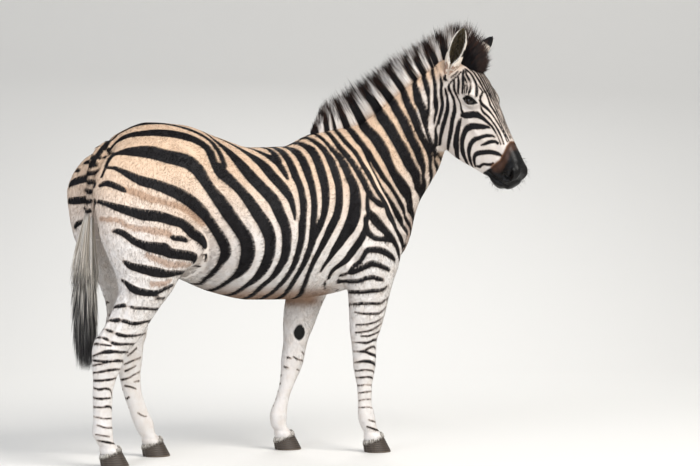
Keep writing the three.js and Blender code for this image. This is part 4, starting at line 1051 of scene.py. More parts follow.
def markings(points):
    """What colours a hair at its root: distances to dark, brown and black marks, and tan, painted underside
    shade and rust.
    """
    x, y, z = points.T
    s, w, n = on_head(points).T
    head = ramp(s, -20, 60) * (np.abs(w) < 130) * (n > -300) * ((z > 1050) | (z > 960) & (x > 900))
    edge = np.interp(n, [-200, -160, -130, -100, -70, -40, 0, 20], [436, 434, 438, 448, 446, 430, 396, 390])
    black = np.where(head > 0, edge - s, 60)
    for side in (-1, 1):
        middle, axes = eye_axes(side)
        a, b, c = ((points - middle) @ axes.T).T
        rim = slit_shape(a - 1.5, b, 39, 22, 16) + np.where(c > -10, 0, 60)
        black = np.minimum(black, np.where(np.hypot(a, b) < 60, rim, 60))
        pad = np.hypot((x - (304 if side > 0 else 486)) / 1.0, (z - 472) * 0.58) - 22 + 2.5 * np.sin(z / 11)
        inner = (side * y > 40) & (side * y < 124)
        black = np.minimum(black, np.where(inner, pad, 60))
    tan = ramp(z, 760, 1180) * (1 - 0.8 * head) * (1 - 0.5 * ramp(x, 520, 800) * ramp(-z, -1250, -1050))
    tan = np.maximum(tan, 0.75 * np.exp(-(((x + 320) / 190) ** 2 + ((z - 980) / 170) ** 2)))
    # Painted shade: a brown share on the underside of the belly and on the lower front of the chest, where
    # shade falls.
    underside_shade = ramp(-z, -690, -622) * ramp(z, 560, 600) * ramp(-np.abs(x - 40), -400, -300)
    underside_shade = np.maximum(underside_shade, 0.7 * ramp(x, 600, 720) * ramp(-z, -1010, -900))
    fine = np.maximum(head, ramp(x, 350, 430)) * ramp(z, 950, 1050)
    wide = 2.4 * ramp(z, 520, 760) * (1 - head) * (1 - 0.8 * fine)
    rust = head * np.exp(-(((edge - s + 9) / 26) ** 2)) * ramp(n, -150, -100)
    return {
        "stripe": reach(points, dark_lines) - 0.4 - wide, "shadow": reach(points, shadow_lines, 40.0) - 5,
        "black": black, "tan": tan, "underside_shade": underside_shade, "rust": rust, "head": head,
    }


def lie_of_coat(points, outward):
    """The way the hair lies: back and down the trunk, down the neck and legs, down the face."""
    weight = np.exp(-np.clip(body_parts(points), -40, 200) / 25)
    ways = np.array([(-1, 0, -0.45), (-0.75, 0, -0.8), HEAD[1][0], (-0.1, 0, -1)] + [(-0.12, 0, -1.0)] * 4)
    way = weight.T @ (ways / np.linalg.norm(ways, axis=1)[:, None])
    way -= (way * outward).sum(1)[:, None] * outward
    return way / np.maximum(np.linalg.norm(way, axis=1), 1e-6)[:, None]


skin_marks = markings(skin_points)
skin_marks["lie"] = lie_of_coat(skin_points, skin_out)


def to_frame(points):
    """Millimetres in the body's frame to metres in the model's."""
    return (points - MIDDLE) / 1000


def read(tree, name, output="Fac"):
    """A value stored on the mesh at each point."""
    return node(tree, "ShaderNodeAttribute", attribute_name=name).outputs[output]


def maths(tree, operation, *values, clamp=False):
    """One arithmetic step on numbers or sockets."""
    inputs = dict(enumerate(values))
    return node(tree, "ShaderNodeMath", inputs, operation=operation, use_clamp=clamp).outputs[0]


def ramp_node(tree, value, low, high, to_low=0.0, to_high=1.0):
    """A smooth rise between two values."""
    inputs = {0: value, 1: low, 2: high, 3: to_low, 4: to_high}
    return node(tree, "ShaderNodeMapRange", inputs, interpolation_type="SMOOTHSTEP").outputs[0]


def mixed(tree, share, a, b, **settings):
    """Colour a turned towards colour b by a share. Hex strings are turned to linear light."""
    a, b = [linear(c) if isinstance(c, str) else c for c in (a, b)]
    return node(tree, "ShaderNodeMix", {0: share, 6: a, 7: b}, data_type="RGBA", **settings).outputs[2]


def noise(tree, vector, scale, detail=2.0, roughness=0.5):
    """Noise from 0 to 1 with features about 1 / scale metres across."""
    inputs = {"Vector": vector, "Scale": scale, "Detail": detail, "Roughness": roughness}
    return node(tree, "ShaderNodeTexNoise", inputs).outputs["Fac"]


def coat_colour(tree, ragged=1.0):
    """The markings' colours: tan or white ground, brown shadows, near-black stripes, black bare skin, with
    painted shade under the belly and chest and a painted sheen on the dark hair.

    An edge is where a distance in millimetres crosses zero, shifted by noise as wide as a few hairs.
    """
    place = node(tree, "ShaderNodeTexCoord").outputs["Object"]
    hairs = noise(tree, place, 260.0, 3.0, 0.6)
    patches = noise(tree, place, 30.0, 3.0)
    shift = maths(tree, "MULTIPLY", maths(tree, "SUBTRACT", hairs, 0.5), 4.5 * ragged)
    shift = maths(tree, "ADD", shift, maths(tree, "MULTIPLY", maths(tree, "SUBTRACT", patches, 0.5), 3.0))
    ground = mixed(tree, read(tree, "tan"), "#e2dedb", "#dfc3a8")
    ground = mixed(tree, ramp_node(tree, patches, 0.35, 0.75, 0.0, 0.22), ground, "#c9b29a")
    ground = mixed(tree, ramp_node(tree, hairs, 0.5, 0.8, 0.0, 0.12), ground, "#a8927c")
    # Painted shade: the ground turns brown under the belly and the chest.
    ground = mixed(tree, maths(tree, "MULTIPLY", read(tree, "underside_shade"), 0.85), ground, "#8f6a4b")
    blotch = maths(tree, "MULTIPLY", maths(tree, "SUBTRACT", noise(tree, place, 70.0, 4.0, 0.7), 0.5), 26.0)
    brown = ramp_node(tree, maths(tree, "ADD", read(tree, "shadow"), blotch), -5.0, 6.0, 0.62, 0.0)
    ground = mixed(tree, brown, ground, "#9a6f4c")
    stripe = maths(tree, "ADD", read(tree, "stripe"), shift)
    fringe = ramp_node(tree, stripe, 0.5, 4.0, 0.55, 0.0)
    ground = mixed(tree, fringe, ground, "#8c7460")
    dark = mixed(tree, patches, "#08070a", "#110e11")
    # Painted sheen: random hairs in the dark stripes are lifted towards a bluish grey, a painted highlight on
    # the dark hair.
    dark = mixed(tree, ramp_node(tree, hairs, 0.45, 0.85, 0.0, 0.3), dark, "#1f1b24")
    coat = mixed(tree, ramp_node(tree, stripe, -1.2, 1.2, 1.0, 0.0), ground, dark)
    rusty = maths(tree, "MULTIPLY", read(tree, "rust"), ramp_node(tree, patches, 0.2, 0.6, 0.65, 1.0))
    rust_colour = mixed(tree, ramp_node(tree, rusty, 0.3, 0.8), "#7d5232", "#3a2417")
    coat = mixed(tree, ramp_node(tree, rusty, 0.25, 0.6), coat, rust_colour)
    bare = maths(tree, "ADD", read(tree, "black"), shift)
    bare_skin = mixed(tree, ramp_node(tree, rusty, 0.3, 1.0, 0.0, 0.9), "#060505", "#432c20")
    return mixed(tree, ramp_node(tree, bare, -4.0, 3.0, 1.0, 0.0), coat, bare_skin), place, bare


# The skin carries the short coat: hair 4 to 8 mm long that lies flat, white to tan with near-black
# stripes, matt. Lips, lids and the leg pads are bare black skin, slightly moist.
hide, hide_tree, hide_shader = new_material(
    "short smooth coat over skin", Roughness=0.62, Specular_IOR_Level=0.24
)
hide_colour, hide_place, hide_bare = coat_colour(hide_tree)
hide_tree.links.new(hide_colour, hide_shader.inputs["Base Color"])
hide_gloss = ramp_node(hide_tree, hide_bare, -8.0, 0.0, 0.38, 0.62)
hide_tree.links.new(hide_gloss, hide_shader.inputs["Roughness"])
lie_socket = node(hide_tree, "ShaderNodeAttribute", attribute_name="lie").outputs["Vector"]
along_lie = node(
    hide_tree, "ShaderNodeVectorMath", {0: hide_place, 1: lie_socket}, operation="DOT_PRODUCT"
).outputs["Value"]
stretch = maths(hide_tree, "MULTIPLY", along_lie, 0.86)
drawn_out = node(
    hide_tree, "ShaderNodeVectorMath", {0: lie_socket, "Scale": stretch}, operation="SCALE"
).outputs["Vector"]
combed = node(
    hide_tree, "ShaderNodeVectorMath", {0: hide_place, 1: drawn_out}, operation="SUBTRACT"
).outputs["Vector"]
strands = noise(hide_tree, combed, 520.0, 2.0, 0.6)
pores = noise(hide_tree, hide_place, 420.0, 3.0, 0.7)
bare_share = ramp_node(hide_tree, hide_bare, -4.0, 2.0, 1.0, 0.0)
height = node(hide_tree, "ShaderNodeMix", {0: bare_share, 2: strands, 3: pores}).outputs[0]
bump = node(hide_tree, "ShaderNodeBump", {"Strength": 0.35, "Distance": 0.0016, "Height": height})
hide_tree.links.new(bump.outputs["Normal"], hide_shader.inputs["Normal"])

skin = mesh_piece("skin", to_frame(skin_points), skin_faces, hide, skin_marks)
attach(skin, "root")
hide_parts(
    "trunk", "neck", "head", "tail_dock", "left_fore_upper_leg", "left_fore_lower_leg",
    "right_fore_upper_leg", "right_fore_lower_leg", "left_hind_upper_leg", "left_hind_lower_leg",
    "right_hind_upper_leg", "right_hind_lower_leg",
)

# ---------------------------------------------------------------- the eyes
# Each eye is a dark wet ball 44 mm across, a little fuller over the iris, deep in black lids. The iris
# is dark brown with a pupil that lies level along the slit, under a clear glossy front.


def eye_ball(side):
    """A sphere about the eye's axis whose radius gains 1.5 mm times exp(-(angle / 0.5)^2) in front."""
    angle = np.linspace(0, math.pi, 40)[:, None]
    around = np.linspace(0, 2 * math.pi, 56, endpoint=False)[None, :]
    radius = EYE_RADIUS + 1.5 * np.exp(-((angle / 0.5) ** 2))
    a = radius * np.sin(angle) * np.cos(around)
    b = radius * np.sin(angle) * np.sin(around)
    c = radius * np.cos(angle) + 0 * around
    middle, axes = eye_axes(side)
    points = middle + np.stack([a, b, c], -1).reshape(-1, 3) @ axes
    iris = (np.hypot(a, b) / 15.0 + (c < 0)).ravel()
    pupil = np.sqrt((a / 8.5) ** 2 + (b / 4.2) ** 2).ravel()
    faces = grid_faces(40, 56, wrap=True)
    return points, faces if side < 0 else faces[:, ::-1], {"iris": iris, "pupil": pupil}


wet, wet_tree, wet_shader = new_material(
    "wet eye, clear cornea over brown iris", Roughness=0.07, Coat_Weight=0.4, Coat_Roughness=0.02, IOR=1.34
)
fibres = noise(wet_tree, node(wet_tree, "ShaderNodeTexCoord").outputs["Object"], 700.0, 4.0, 0.7)
iris_colour = mixed(wet_tree, fibres, "#0a0605", "#1d110a")
in_pupil = ramp_node(wet_tree, read(wet_tree, "pupil"), 0.9, 1.1, 1.0, 0.0)
iris_colour = mixed(wet_tree, in_pupil, iris_colour, "#05060a")
white = mixed(wet_tree, ramp_node(wet_tree, read(wet_tree, "iris"), 0.95, 1.08), iris_colour, "#1d1512")
wet_tree.links.new(white, wet_shader.inputs["Base Color"])
for name, side in (("eye_left", 1), ("eye_right", -1)):
    points, faces, marks = eye_ball(side)
    ball = mesh_piece(name + "_ball", to_frame(points), faces, wet, marks)
    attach(ball, "root")
    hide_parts(name)

# ---------------------------------------------------------------- the ears
# An ear is a leaf of gristle rolled into a funnel at its foot and open towards the side, thin at the
# rim. Outside it is white with a dark band and tip, inside it is lined with woolly brown hair.

EARS = {
    -1: (from_head(12.0, -60.0, -78.0), from_head(-88.0, -91.0, 73.0)),
    1: (from_head(12.0, 60.0, -78.0), from_head(-58.0, 113.0, 78.0)),
}
EAR_ROWS = [  # at, half across, depth and half angle of the gristle
    (0.0, 25, 20, 3.1), (0.16, 30, 25, 2.9), (0.32, 34, 24, 2.3), (0.5, 35, 21, 2.05),
    (0.68, 32, 16, 1.95), (0.84, 23, 11, 1.85), (0.95, 12, 6, 1.75), (1.0, 2.2, 1.4, 1.6),
]


def ear_axes(side):
    """An ear's foot, its rise to the tip, and its directions: up, open side and across."""
    foot, tip = EARS[side]
    up = (tip - foot) / np.linalg.norm(tip - foot)
    opening = side * HEAD[1][1] + 0.42 * HEAD[1][0]
    opening -= (opening @ up) * up
    opening /= np.linalg.norm(opening)
    return foot, tip - foot, up, opening, np.cross(up, opening)


def ear_shell(side):
    """Rings up the ear: outside, an arc of half angle turn; inside, the same arc less the wall."""
    foot, rise, _, opening, across = ear_axes(side)
    t = np.concatenate([np.linspace(-0.1, 0.9, 34), np.linspace(0.92, 1.0, 8)])
    wide, deep, turn = at_rows(EAR_ROWS, np.clip(t, 0, 1)).T[:, :, None]
    q = np.linspace(-1, 1, 33)[None, :]
    wall = 3.2 * np.clip(wide / 20, 0.2, 1) * (1 - 0.75 * np.abs(q) ** 6)
    t = t[:, None] + 0 * q
    outside = np.stack([t, wide * np.sin(q * turn), -deep * np.cos(q * turn)], -1)
    inside = np.stack([t, (wide - wall) * np.sin(q * turn), -(deep - wall) * np.cos(q * turn)], -1)
    rings = np.concatenate([outside, inside[:, ::-1]], 1)
    flare = 1 + 0.05 * np.sin(rings[..., 0] * 9) * (np.abs(rings[..., 1]) > 12)
    points = foot + rings[..., :1] * rise + rings[..., 1:2] * flare[..., None] * across
    points = points + rings[..., 2:] * opening
    inner = np.concatenate([0 * q - (1 - np.abs(q)) * 8, (1 - np.abs(q[:, ::-1])) * 8], 1) + 0 * rings[..., 0]
    return points.reshape(-1, 3), rings[..., 0].ravel(), inner.ravel(), grid_faces(len(t), 66, wrap=True)


gristle, gristle_tree, gristle_shader = new_material(
    "ear, short coat outside, woolly inside", Roughness=0.75, Specular_IOR_Level=0.2
)
ear_place = node(gristle_tree, "ShaderNodeTexCoord").outputs["Object"]
ear_hairs = noise(gristle_tree, ear_place, 320.0, 3.0, 0.6)
ear_mottle = noise(gristle_tree, ear_place, 95.0, 4.0, 0.7)
ear_up = maths(gristle_tree, "MULTIPLY", ear_hairs, 0.05)
ear_up = maths(gristle_tree, "ADD", read(gristle_tree, "rise"), ear_up)
band_foot = ramp_node(gristle_tree, ear_up, 0.40, 0.43)
band_top = ramp_node(gristle_tree, ear_up, 0.56, 0.60, 1.0, 0.0)
banded = maths(gristle_tree, "MULTIPLY", band_foot, band_top)
banded = maths(gristle_tree, "MAXIMUM", banded, ramp_node(gristle_tree, ear_up, 0.78, 0.82))
ear_back = mixed(gristle_tree, ear_hairs, "#e8e2da", "#cbb9a4")
ear_foot = maths(gristle_tree, "MULTIPLY", ramp_node(gristle_tree, ear_up, 0.14, 0.4, 1.0, 0.0), ear_mottle)
ear_back = mixed(gristle_tree, ramp_node(gristle_tree, ear_foot, 0.38, 0.52, 0.0, 0.8), ear_back, "#7d5438")
ear_back = mixed(gristle_tree, banded, ear_back, "#0a080a")
ear_inside = read(gristle_tree, "inner")
wool_colour = mixed(gristle_tree, ramp_node(gristle_tree, ear_mottle, 0.42, 0.62), "#17120b", "#6b5d40")
near_rim = ramp_node(gristle_tree, ear_inside, 0.4, 2.4, 1.0, 0.0)
wool_colour = mixed(gristle_tree, near_rim, wool_colour, "#d9d0c4")
ear_colour = mixed(gristle_tree, ramp_node(gristle_tree, ear_inside, -0.6, 0.2), ear_back, wool_colour)
gristle_tree.links.new(ear_colour, gristle_shader.inputs["Base Color"])
ear_bump = node(gristle_tree, "ShaderNodeBump", {"Strength": 0.5, "Distance": 0.002, "Height": ear_hairs})
gristle_tree.links.new(ear_bump.outputs["Normal"], gristle_shader.inputs["Normal"])
for name, side in (("ear_left", 1), ("ear_right", -1)):
    points, rise, inner, faces = ear_shell(side)
    shell = mesh_piece(name + "_shell", to_frame(points), faces if side > 0 else faces[:, ::-1], gristle,
                       {"rise": rise, "inner": inner})
    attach(shell, "root")
    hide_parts(name)


# ---------------------------------------------------------------- the hooves
# A hoof is a hard dark wall of horn, wider at the ground than at its top edge and higher in front than
# at the heels, with fine growth rings parallel to that edge and a flat sole that it stands on.

HOOF_LENGTH, HOOF_WIDTH, CORONET, TOE_LEAN, SLOPE = 108.0, 92.0, 52.0, 22.0, 0.4


def hoof(x, y):
    """Points from the sole's middle to its edge, up the wall with 0.6 mm ridges, and in over the top."""
    angle = np.linspace(0, 2 * math.pi, 72, endpoint=False)[None, :]
    rise = np.concatenate([[0, 0, 0, 0], np.linspace(0.06, 1, 28), [1.0, 1.0]])[:, None]
    size = np.concatenate([[0.01, 0.5, 0.93, 0.965], np.linspace(1, 0.74, 28), [0.6, 0.01]])[:, None]
    size = size + 0.006 * np.sin(rise * 46) * (rise > 0.1) * (rise < 0.97)
    size = size + 0.03 * np.exp(-(((rise - 0.97) / 0.05) ** 2)) * (size > 0.7)
    blunt = np.sign(np.cos(angle)) * np.abs(np.cos(angle)) ** np.where(np.cos(angle) < 0, 0.72, 1)
    px, py = blunt * HOOF_LENGTH / 2 * size, np.sin(angle) * HOOF_WIDTH / 2 * size
    cleft = np.exp(-((np.sin(angle) / 0.16) ** 2)) * (np.cos(angle) < 0) * 7 * (size > 0.6)
    z = rise * (CORONET + SLOPE * px)
    points = np.stack([x - rise * TOE_LEAN + px + cleft, y + py, z], -1)
    return points.reshape(-1, 3), (rise + 0 * angle).ravel()


horn, horn_tree, horn_shader = new_material(
    "hoof horn, dark, worn matt", Roughness=0.48, Specular_IOR_Level=0.45
)
horn_place = node(horn_tree, "ShaderNodeTexCoord").outputs["Object"]
streaks = node(horn_tree, "ShaderNodeMapping", {"Vector": horn_place, "Scale": (1.0, 1.0, 0.08)}).outputs[0]
streaks = noise(horn_tree, streaks, 330.0, 3.0, 0.6)
rings = node(
    horn_tree, "ShaderNodeTexWave", {"Vector": horn_place, "Scale": 38.0, "Distortion": 2.2, "Detail": 2.0},
    bands_direction="Z",
).outputs["Fac"]
horn_colour = mixed(horn_tree, streaks, "#1a1613", "#4a3f36")
horn_colour = mixed(horn_tree, ramp_node(horn_tree, rings, 0.6, 1.0, 0.0, 0.35), horn_colour, "#6a5b4c")
worn_edge = ramp_node(horn_tree, read(horn_tree, "rise"), 0.0, 0.14, 0.5, 0.0)
horn_colour = mixed(horn_tree, worn_edge, horn_colour, "#8b7a67")
horn_tree.links.new(horn_colour, horn_shader.inputs["Base Color"])
horn_bump = node(horn_tree, "ShaderNodeBump", {"Strength": 0.3, "Distance": 0.001, "Height": rings})
horn_tree.links.new(horn_bump.outputs["Normal"], horn_shader.inputs["Normal"])
for name in LEG_NAMES:
    side, rows = (1 if name.startswith("left") else -1), (FORE_ROWS if name.endswith("fore") else HIND_ROWS)
    points, rise = hoof(STANCE[name][0][1] + TOE_LEAN, side * rows[0][3])
    faces = grid_faces(34, 72, wrap=True)[:, ::-1]
    horn_piece = mesh_piece(name + "_horn", to_frame(points), faces, horn, {"rise": rise})
    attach(horn_piece, "root")
    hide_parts(name + "_hoof")

# ---------------------------------------------------------------- the mane and forelock
# Stiff upright hair in a brush down the middle of the neck, striped on with the neck and dark brown at
# its tips. Between the ears it leans forward as a dark forelock.

chance = np.random.default_rng(7)
fur, fur_tree, fur_shader = new_material(
    "short coat hair, smooth", Roughness=0.65, Specular_IOR_Level=0.16
)
fur_colour = coat_colour(fur_tree)[0]
fur_luck = ramp_node(fur_tree, read(fur_tree, "luck"), 0.0, 1.0, 0.0, 0.10)
fur_tree.links.new(mixed(fur_tree, fur_luck, fur_colour, "#6b5c50"), fur_shader.inputs["Base Color"])


def unwrap(points):
    """A place on a flat sheet for each point: a tile for each part, length one way and girth the other."""
    part = body_parts(points).argmin(0)
    x, y, z = points.T
    t, ws, vs = ((points - NECK[0]) @ NECK[1].T).T
    s, w, n = on_head(points).T
    length = [(x + 700) / 1400, (t + 100) / 850, (s + 70) / 640, (z - 800) / 450]
    girth = [np.arctan2(y, z - 950), np.arctan2(ws, vs), np.arctan2(w, n + 110), np.arctan2(y, -x - 610)]
    for name in LEG_NAMES:
        out = (1 if name.startswith("left") else -1) * 134
        length.append(z / 1250)
        girth.append(np.arctan2(y - out, x - leg_middle(name, z)))
    column = np.arange(8) % 4
    row = np.arange(8) // 4
    a = np.clip(np.stack(length)[part, np.arange(len(part))], 0, 1)
    b = np.stack(girth)[part, np.arange(len(part))] / (2 * math.pi) + 0.5
    return np.stack([(column[part] + 0.02 + 0.96 * a) / 4, (row[part] + 0.02 + 0.96 * b) / 2], 1)


def locks(root, bend, tip, radius, rings=4, flat=0.5, sides=3):
    """Tapering locks of hair along curves through root, towards bend, to tip.

    A point on the curve is (1-t)^2 root + 2t(1-t) bend + t^2 tip. The section has a few sides and
    shrinks as (1 - t^1.6). Returns points, faces, each point's t and its lock's number.
    """
    count = len(root)
    t = np.linspace(0, 1, rings + 1)[:-1]
    tt = t[None, :, None]
    path = (1 - tt) ** 2 * root[:, None] + 2 * tt * (1 - tt) * bend[:, None] + tt**2 * tip[:, None]
    way = tip - root
    way /= np.maximum(np.linalg.norm(way, axis=1), 1e-6)[:, None]
    spin = chance.normal(size=(count, 3))
    u = np.cross(way, spin)
    u /= np.maximum(np.linalg.norm(u, axis=1), 1e-6)[:, None]
    v = np.cross(way, u) * flat
    angle = np.arange(sides) * 2 * math.pi / sides
    around = angle[None, None, :, None]
    shape = u[:, None, None] * np.cos(around) + v[:, None, None] * np.sin(around)
    size = (radius[:, None] * (1 - t[None, :] ** 1.6) + 0.12)[:, :, None, None]
    points = (path[:, :, None] + shape * size).reshape(count, -1, 3)
    points = np.concatenate([points, tip[:, None]], 1)
    each = rings * sides + 1
    ring = np.arange(rings - 1)[:, None] * sides
    j = np.arange(sides)[None, :]
    k = (j + 1) % sides
    above = ring + sides
    walls = [np.stack([ring + j, ring + k, above + k], -1), np.stack([ring + j, above + k, above + j], -1)]
    cap = np.stack([(rings - 1) * sides + j[0], (rings - 1) * sides + k[0], np.full(sides, each - 1)], 1)
    faces = np.concatenate([w.reshape(-1, 3) for w in walls] + [cap, [np.arange(sides)[::-1][:3]]])
    faces = (faces[None] + (np.arange(count) * each)[:, None, None]).reshape(-1, 3)
    share = np.append(np.repeat(t, sides), 1.0)
    return points.reshape(-1, 3), faces, np.tile(share, count), np.repeat(np.arange(count), each)


def hair_piece(name, made, material, marks, roots):
    """A piece of locks. marks is each lock's values, spread to its points; its map is a patch at the root.

    Long hair grows whiter from its root, so the tan fades by a share of 2.5 along the lock.
    """
    points, faces, share, number = made
    spread = {key: np.asarray(value)[number] for key, value in marks.items()}
    spread["share"] = share
    if "tan" in spread and material is not fur:
        spread["tan"] = spread["tan"] * np.clip(1 - 2.5 * share, 0, 1)
    place = unwrap(roots)[number]
    patch = np.stack([share, (np.arange(len(share)) % 3) / 2], 1) * 0.003
    piece = mesh_piece(name, to_frame(points), faces, material, spread, uv=place + patch)
    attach(piece, "root")
    return piece


def crest_locks(count, first, last, length, spread, shortest):
    """Roots, bends and tips of locks scattered over the crest between two stations.

    Tips lean 0.55 of the way to the nearest ninth of a station, so that locks stand in clumps, and
    the hair is up to 15 per cent longer about the poll.
    """
    rows = np.column_stack([np.arange(len(CREST)), CREST])
    q = chance.uniform(first, last, count)
    values = at_rows(rows, q)
    ahead = at_rows(rows, np.clip(q + 0.3, 0, 16))[:, :3] - at_rows(rows, np.clip(q - 0.3, 0, 16))[:, :3]
    root, tip, thick = values[:, :3], values[:, 3:6], values[:, 6]
    rise = tip - root
    across = np.cross(ahead, rise)
    across /= np.linalg.norm(across, axis=1)[:, None]
    a = np.sign(chance.uniform(-1, 1, count)) * chance.uniform(0, 1, count) ** 0.7
    full = np.sqrt(1 - 0.55 * a**2)
    root = root + across * (a * 24 * thick)[:, None] - rise / np.linalg.norm(rise, axis=1)[:, None] * 16
    uneven = 1 + 0.05 * np.sin(q * 23) + 0.05 * np.sin(q * 57 + 1)
    taller = np.interp(q, [8, 10, 13, 15.5], [1.0, 1.15, 1.15, 1.0])
    reach_of = (full * uneven * taller * length * chance.uniform(shortest, 1.0, count))[:, None]
    clump = at_rows(rows, np.clip(np.round(q * 9) / 9, 0, 16))[:, 3:6] - tip
    aim = rise + 0.55 * clump + across * (a * 5 * thick)[:, None]
    aim += chance.normal(0, spread, (count, 3)) * [1, 0.6, 1]
    tip = root + aim * reach_of + rise / np.linalg.norm(rise, axis=1)[:, None] * 14
    bend = root + 0.5 * aim * reach_of + across * (a * 9 * thick)[:, None]
    return root, bend, tip, q


strand, strand_tree, strand_shader = new_material(
    "mane hair, coarse and stiff", Roughness=0.55, Specular_IOR_Level=0.25
)
mane_colour = coat_colour(strand_tree, 0.6)[0]
tips = maths(strand_tree, "MULTIPLY", read(strand_tree, "luck"), 0.35)
tips = ramp_node(strand_tree, maths(strand_tree, "ADD", read(strand_tree, "share"), tips), 0.84, 1.12)
tip_colour = mixed(strand_tree, read(strand_tree, "luck"), "#140c08", "#402213")
strand_tree.links.new(mixed(strand_tree, tips, mane_colour, tip_colour), strand_shader.inputs["Base Color"])

root, bend, tip, q = crest_locks(11000, 0.2, 11.4, 1.0, 4.5, 0.74)
on_skin = settle(flesh, root + (tip - root) * 0.12, -COAT_DEPTH, 4)
marks = markings(on_skin)
for x in (815, 850, 884):
    marks["stripe"] = np.minimum(marks["stripe"], np.abs(root[:, 0] - x) - 9)
marks["luck"] = chance.uniform(0, 1, len(root)) ** 2
made = locks(root, bend, tip, chance.uniform(1.5, 3.2, len(root)), 3)
mane = hair_piece("mane_hair", made, strand, marks, on_skin)
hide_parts("mane")

root, bend, tip, q = crest_locks(4200, 10.6, 16, 1.0, 9.0, 0.55)
on_skin = settle(flesh, root, -COAT_DEPTH, 4)
marks = {key: 0 * q + value for key, value in (("stripe", -9), ("shadow", 40), ("black", 60), ("tan", 0.2))}
marks |= {"underside_shade": 0 * q, "rust": 0 * q, "head": 0 * q + 1, "luck": chance.uniform(0, 1, len(root)) ** 2}
made = locks(root, bend, tip, chance.uniform(1.4, 3.0, len(root)), 3)
forelock = hair_piece("forelock_hair", made, strand, marks, on_skin)
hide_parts("forelock")

# ---------------------------------------------------------------- the tail's long hair
# Below the dock hangs a switch of straight coarse hair to below the hocks, cream where it starts and
# turning near-black below, in separate locks that end at different lengths.


def switch_locks(count):
    """Locks rooted round the dock's lower part that fall to a level between 350 and 730 mm."""
    z = 780 + 180 * chance.uniform(0, 1, count) ** 1.3
    angle = chance.uniform(0, 2 * math.pi, count)
    out = np.sqrt(chance.uniform(0.1, 1, count))
    level = np.where(z > 900, z - 240, 352 + 380 * chance.uniform(0, 1, count) ** 1.3)
    middle = np.interp(z, [780, 820, 885, 955], [-642, -641, -635, -627])
    root = np.stack([middle + 14 * np.cos(angle) * out, 17 * np.sin(angle) * out, z], 1)
    fan = np.interp(level, [350, 420, 560, 700], [0.6, 1.05, 1.2, 1.2]) * chance.uniform(0.6, 1.15, count)
    tip = np.stack([-647 + 42 * fan * np.cos(angle) * out, 64 * fan * np.sin(angle) * out, level], 1)
    bend = 0.5 * (root + tip)
    bend[:, 0] = -645 + 38 * np.cos(angle) * out
    bend[:, 1] = 56 * np.sin(angle) * out
    return root, bend, tip


long_hair, long_tree, long_shader = new_material(
    "tail hair, long and coarse", Roughness=0.48, Sheen_Weight=0.15, Specular_IOR_Level=0.45
)
long_place = node(long_tree, "ShaderNodeTexCoord").outputs["Object"]
drop = node(long_tree, "ShaderNodeSeparateXYZ", {0: long_place}).outputs["Z"]
luck = read(long_tree, "luck")
uneven_turn = maths(long_tree, "MULTIPLY", maths(long_tree, "SUBTRACT", luck, 0.5), 0.36)
turning = maths(long_tree, "ADD", drop, uneven_turn)
long_colour = mixed(long_tree, luck, "#c2b29c", "#efeae1")
long_colour = mixed(long_tree, ramp_node(long_tree, turning, 0.54, 0.74, 1.0, 0.0), long_colour, "#141113")
long_tree.links.new(long_colour, long_shader.inputs["Base Color"])
root, bend, tip = switch_locks(5200)
made = locks(root, bend, tip, chance.uniform(1.8, 3.4, len(root)), 6)
switch = hair_piece("tail_hair", made, long_hair, {"luck": chance.uniform(0, 1, len(root))}, root)
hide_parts("tail_switch")

# ---------------------------------------------------------------- the short coat
# The coat is hair 4 to 15 mm long in small flat tufts that lie back along the trunk, and down the neck,
# the face and the legs. It is longest on the trunk and neck and shortest on the face and feet.

corners = skin_points[skin_faces]
skin_area = np.linalg.norm(np.cross(corners[:, 1] - corners[:, 0], corners[:, 2] - corners[:, 0]), axis=1) / 2
skin_part = body_parts(skin_points[skin_faces[:, 0]]).argmin(0)
hairy = (skin_marks["black"][skin_faces].min(1) > 0) * skin_area


def coat_tufts(name, chosen, count, long, lift):
    """Tufts rooted at random places on the chosen triangles, with the skin's own marks.

    A tuft leaves the skin at the angle lift, bends over and lies along the coat; long is its length at
    each of the triangles.
    """
    share = np.cumsum(hairy * chosen)
    face = np.searchsorted(share, chance.uniform(0, share[-1], count))
    a, b = chance.uniform(0, 1, (2, count))
    a, b = np.where(a + b > 1, 1 - a, a), np.where(a + b > 1, 1 - b, b)
    weight = np.stack([1 - a - b, a, b], 1)
    corner = skin_faces[face]
    spread = {key: (np.asarray(value)[corner].T * weight.T).T.sum(1) for key, value in skin_marks.items()
              if key != "lie"}
    root = (skin_points[corner] * weight[:, :, None]).sum(1)
    lie = skin_marks["lie"][corner[:, 0]]
    out = skin_out[corner[:, 0]]
    wander = np.cross(lie, out) * chance.normal(0, 0.16, count)[:, None]
    length = (long[face] * chance.uniform(0.7, 1.15, count))[:, None]
    tip = root + length * (lie + wander + lift * out)
    bend = root + 0.5 * length * (lie + wander + 2.0 * lift * out)
    spread["luck"] = chance.uniform(0, 1, count) ** 2
    made = locks(root - 0.5 * out, bend, tip, length[:, 0] * 0.075, rings=1, flat=0.5)
    return hair_piece(name, made, fur, spread, root)


middle = corners.mean(1)
on_face = ramp(on_head(middle)[:, 0], 40, 400)
low_leg = ramp(-middle[:, 2], -700, -150)
long = np.select([skin_part == 2, skin_part >= 4], [9.5 - 4.5 * on_face, 13 - 5.5 * low_leg], 14.0)
coat_tufts("coat_rump", ((skin_part == 0) | (skin_part == 3)) & (middle[:, 0] < -60), 44000, long, 0.13)
coat_tufts("coat_barrel", (skin_part == 0) & (middle[:, 0] >= -60), 44000, long, 0.13)
coat_tufts("coat_neck", skin_part == 1, 40000, long, 0.13)
coat_tufts("coat_head", skin_part == 2, 40000, long, 0.14)
coat_tufts("coat_fore_legs", (skin_part == 4) | (skin_part == 5), 34000, long, 0.14)
coat_tufts("coat_hind_legs", skin_part >= 6, 44000, long, 0.14)

# ---------------------------------------------------------------- ear wool, lashes, whiskers and feet
# Longer hair lines the ears and their rims, stands as lashes on the upper lids and as whiskers about the
# lips, and hangs in a short fringe over the top edge of each hoof.

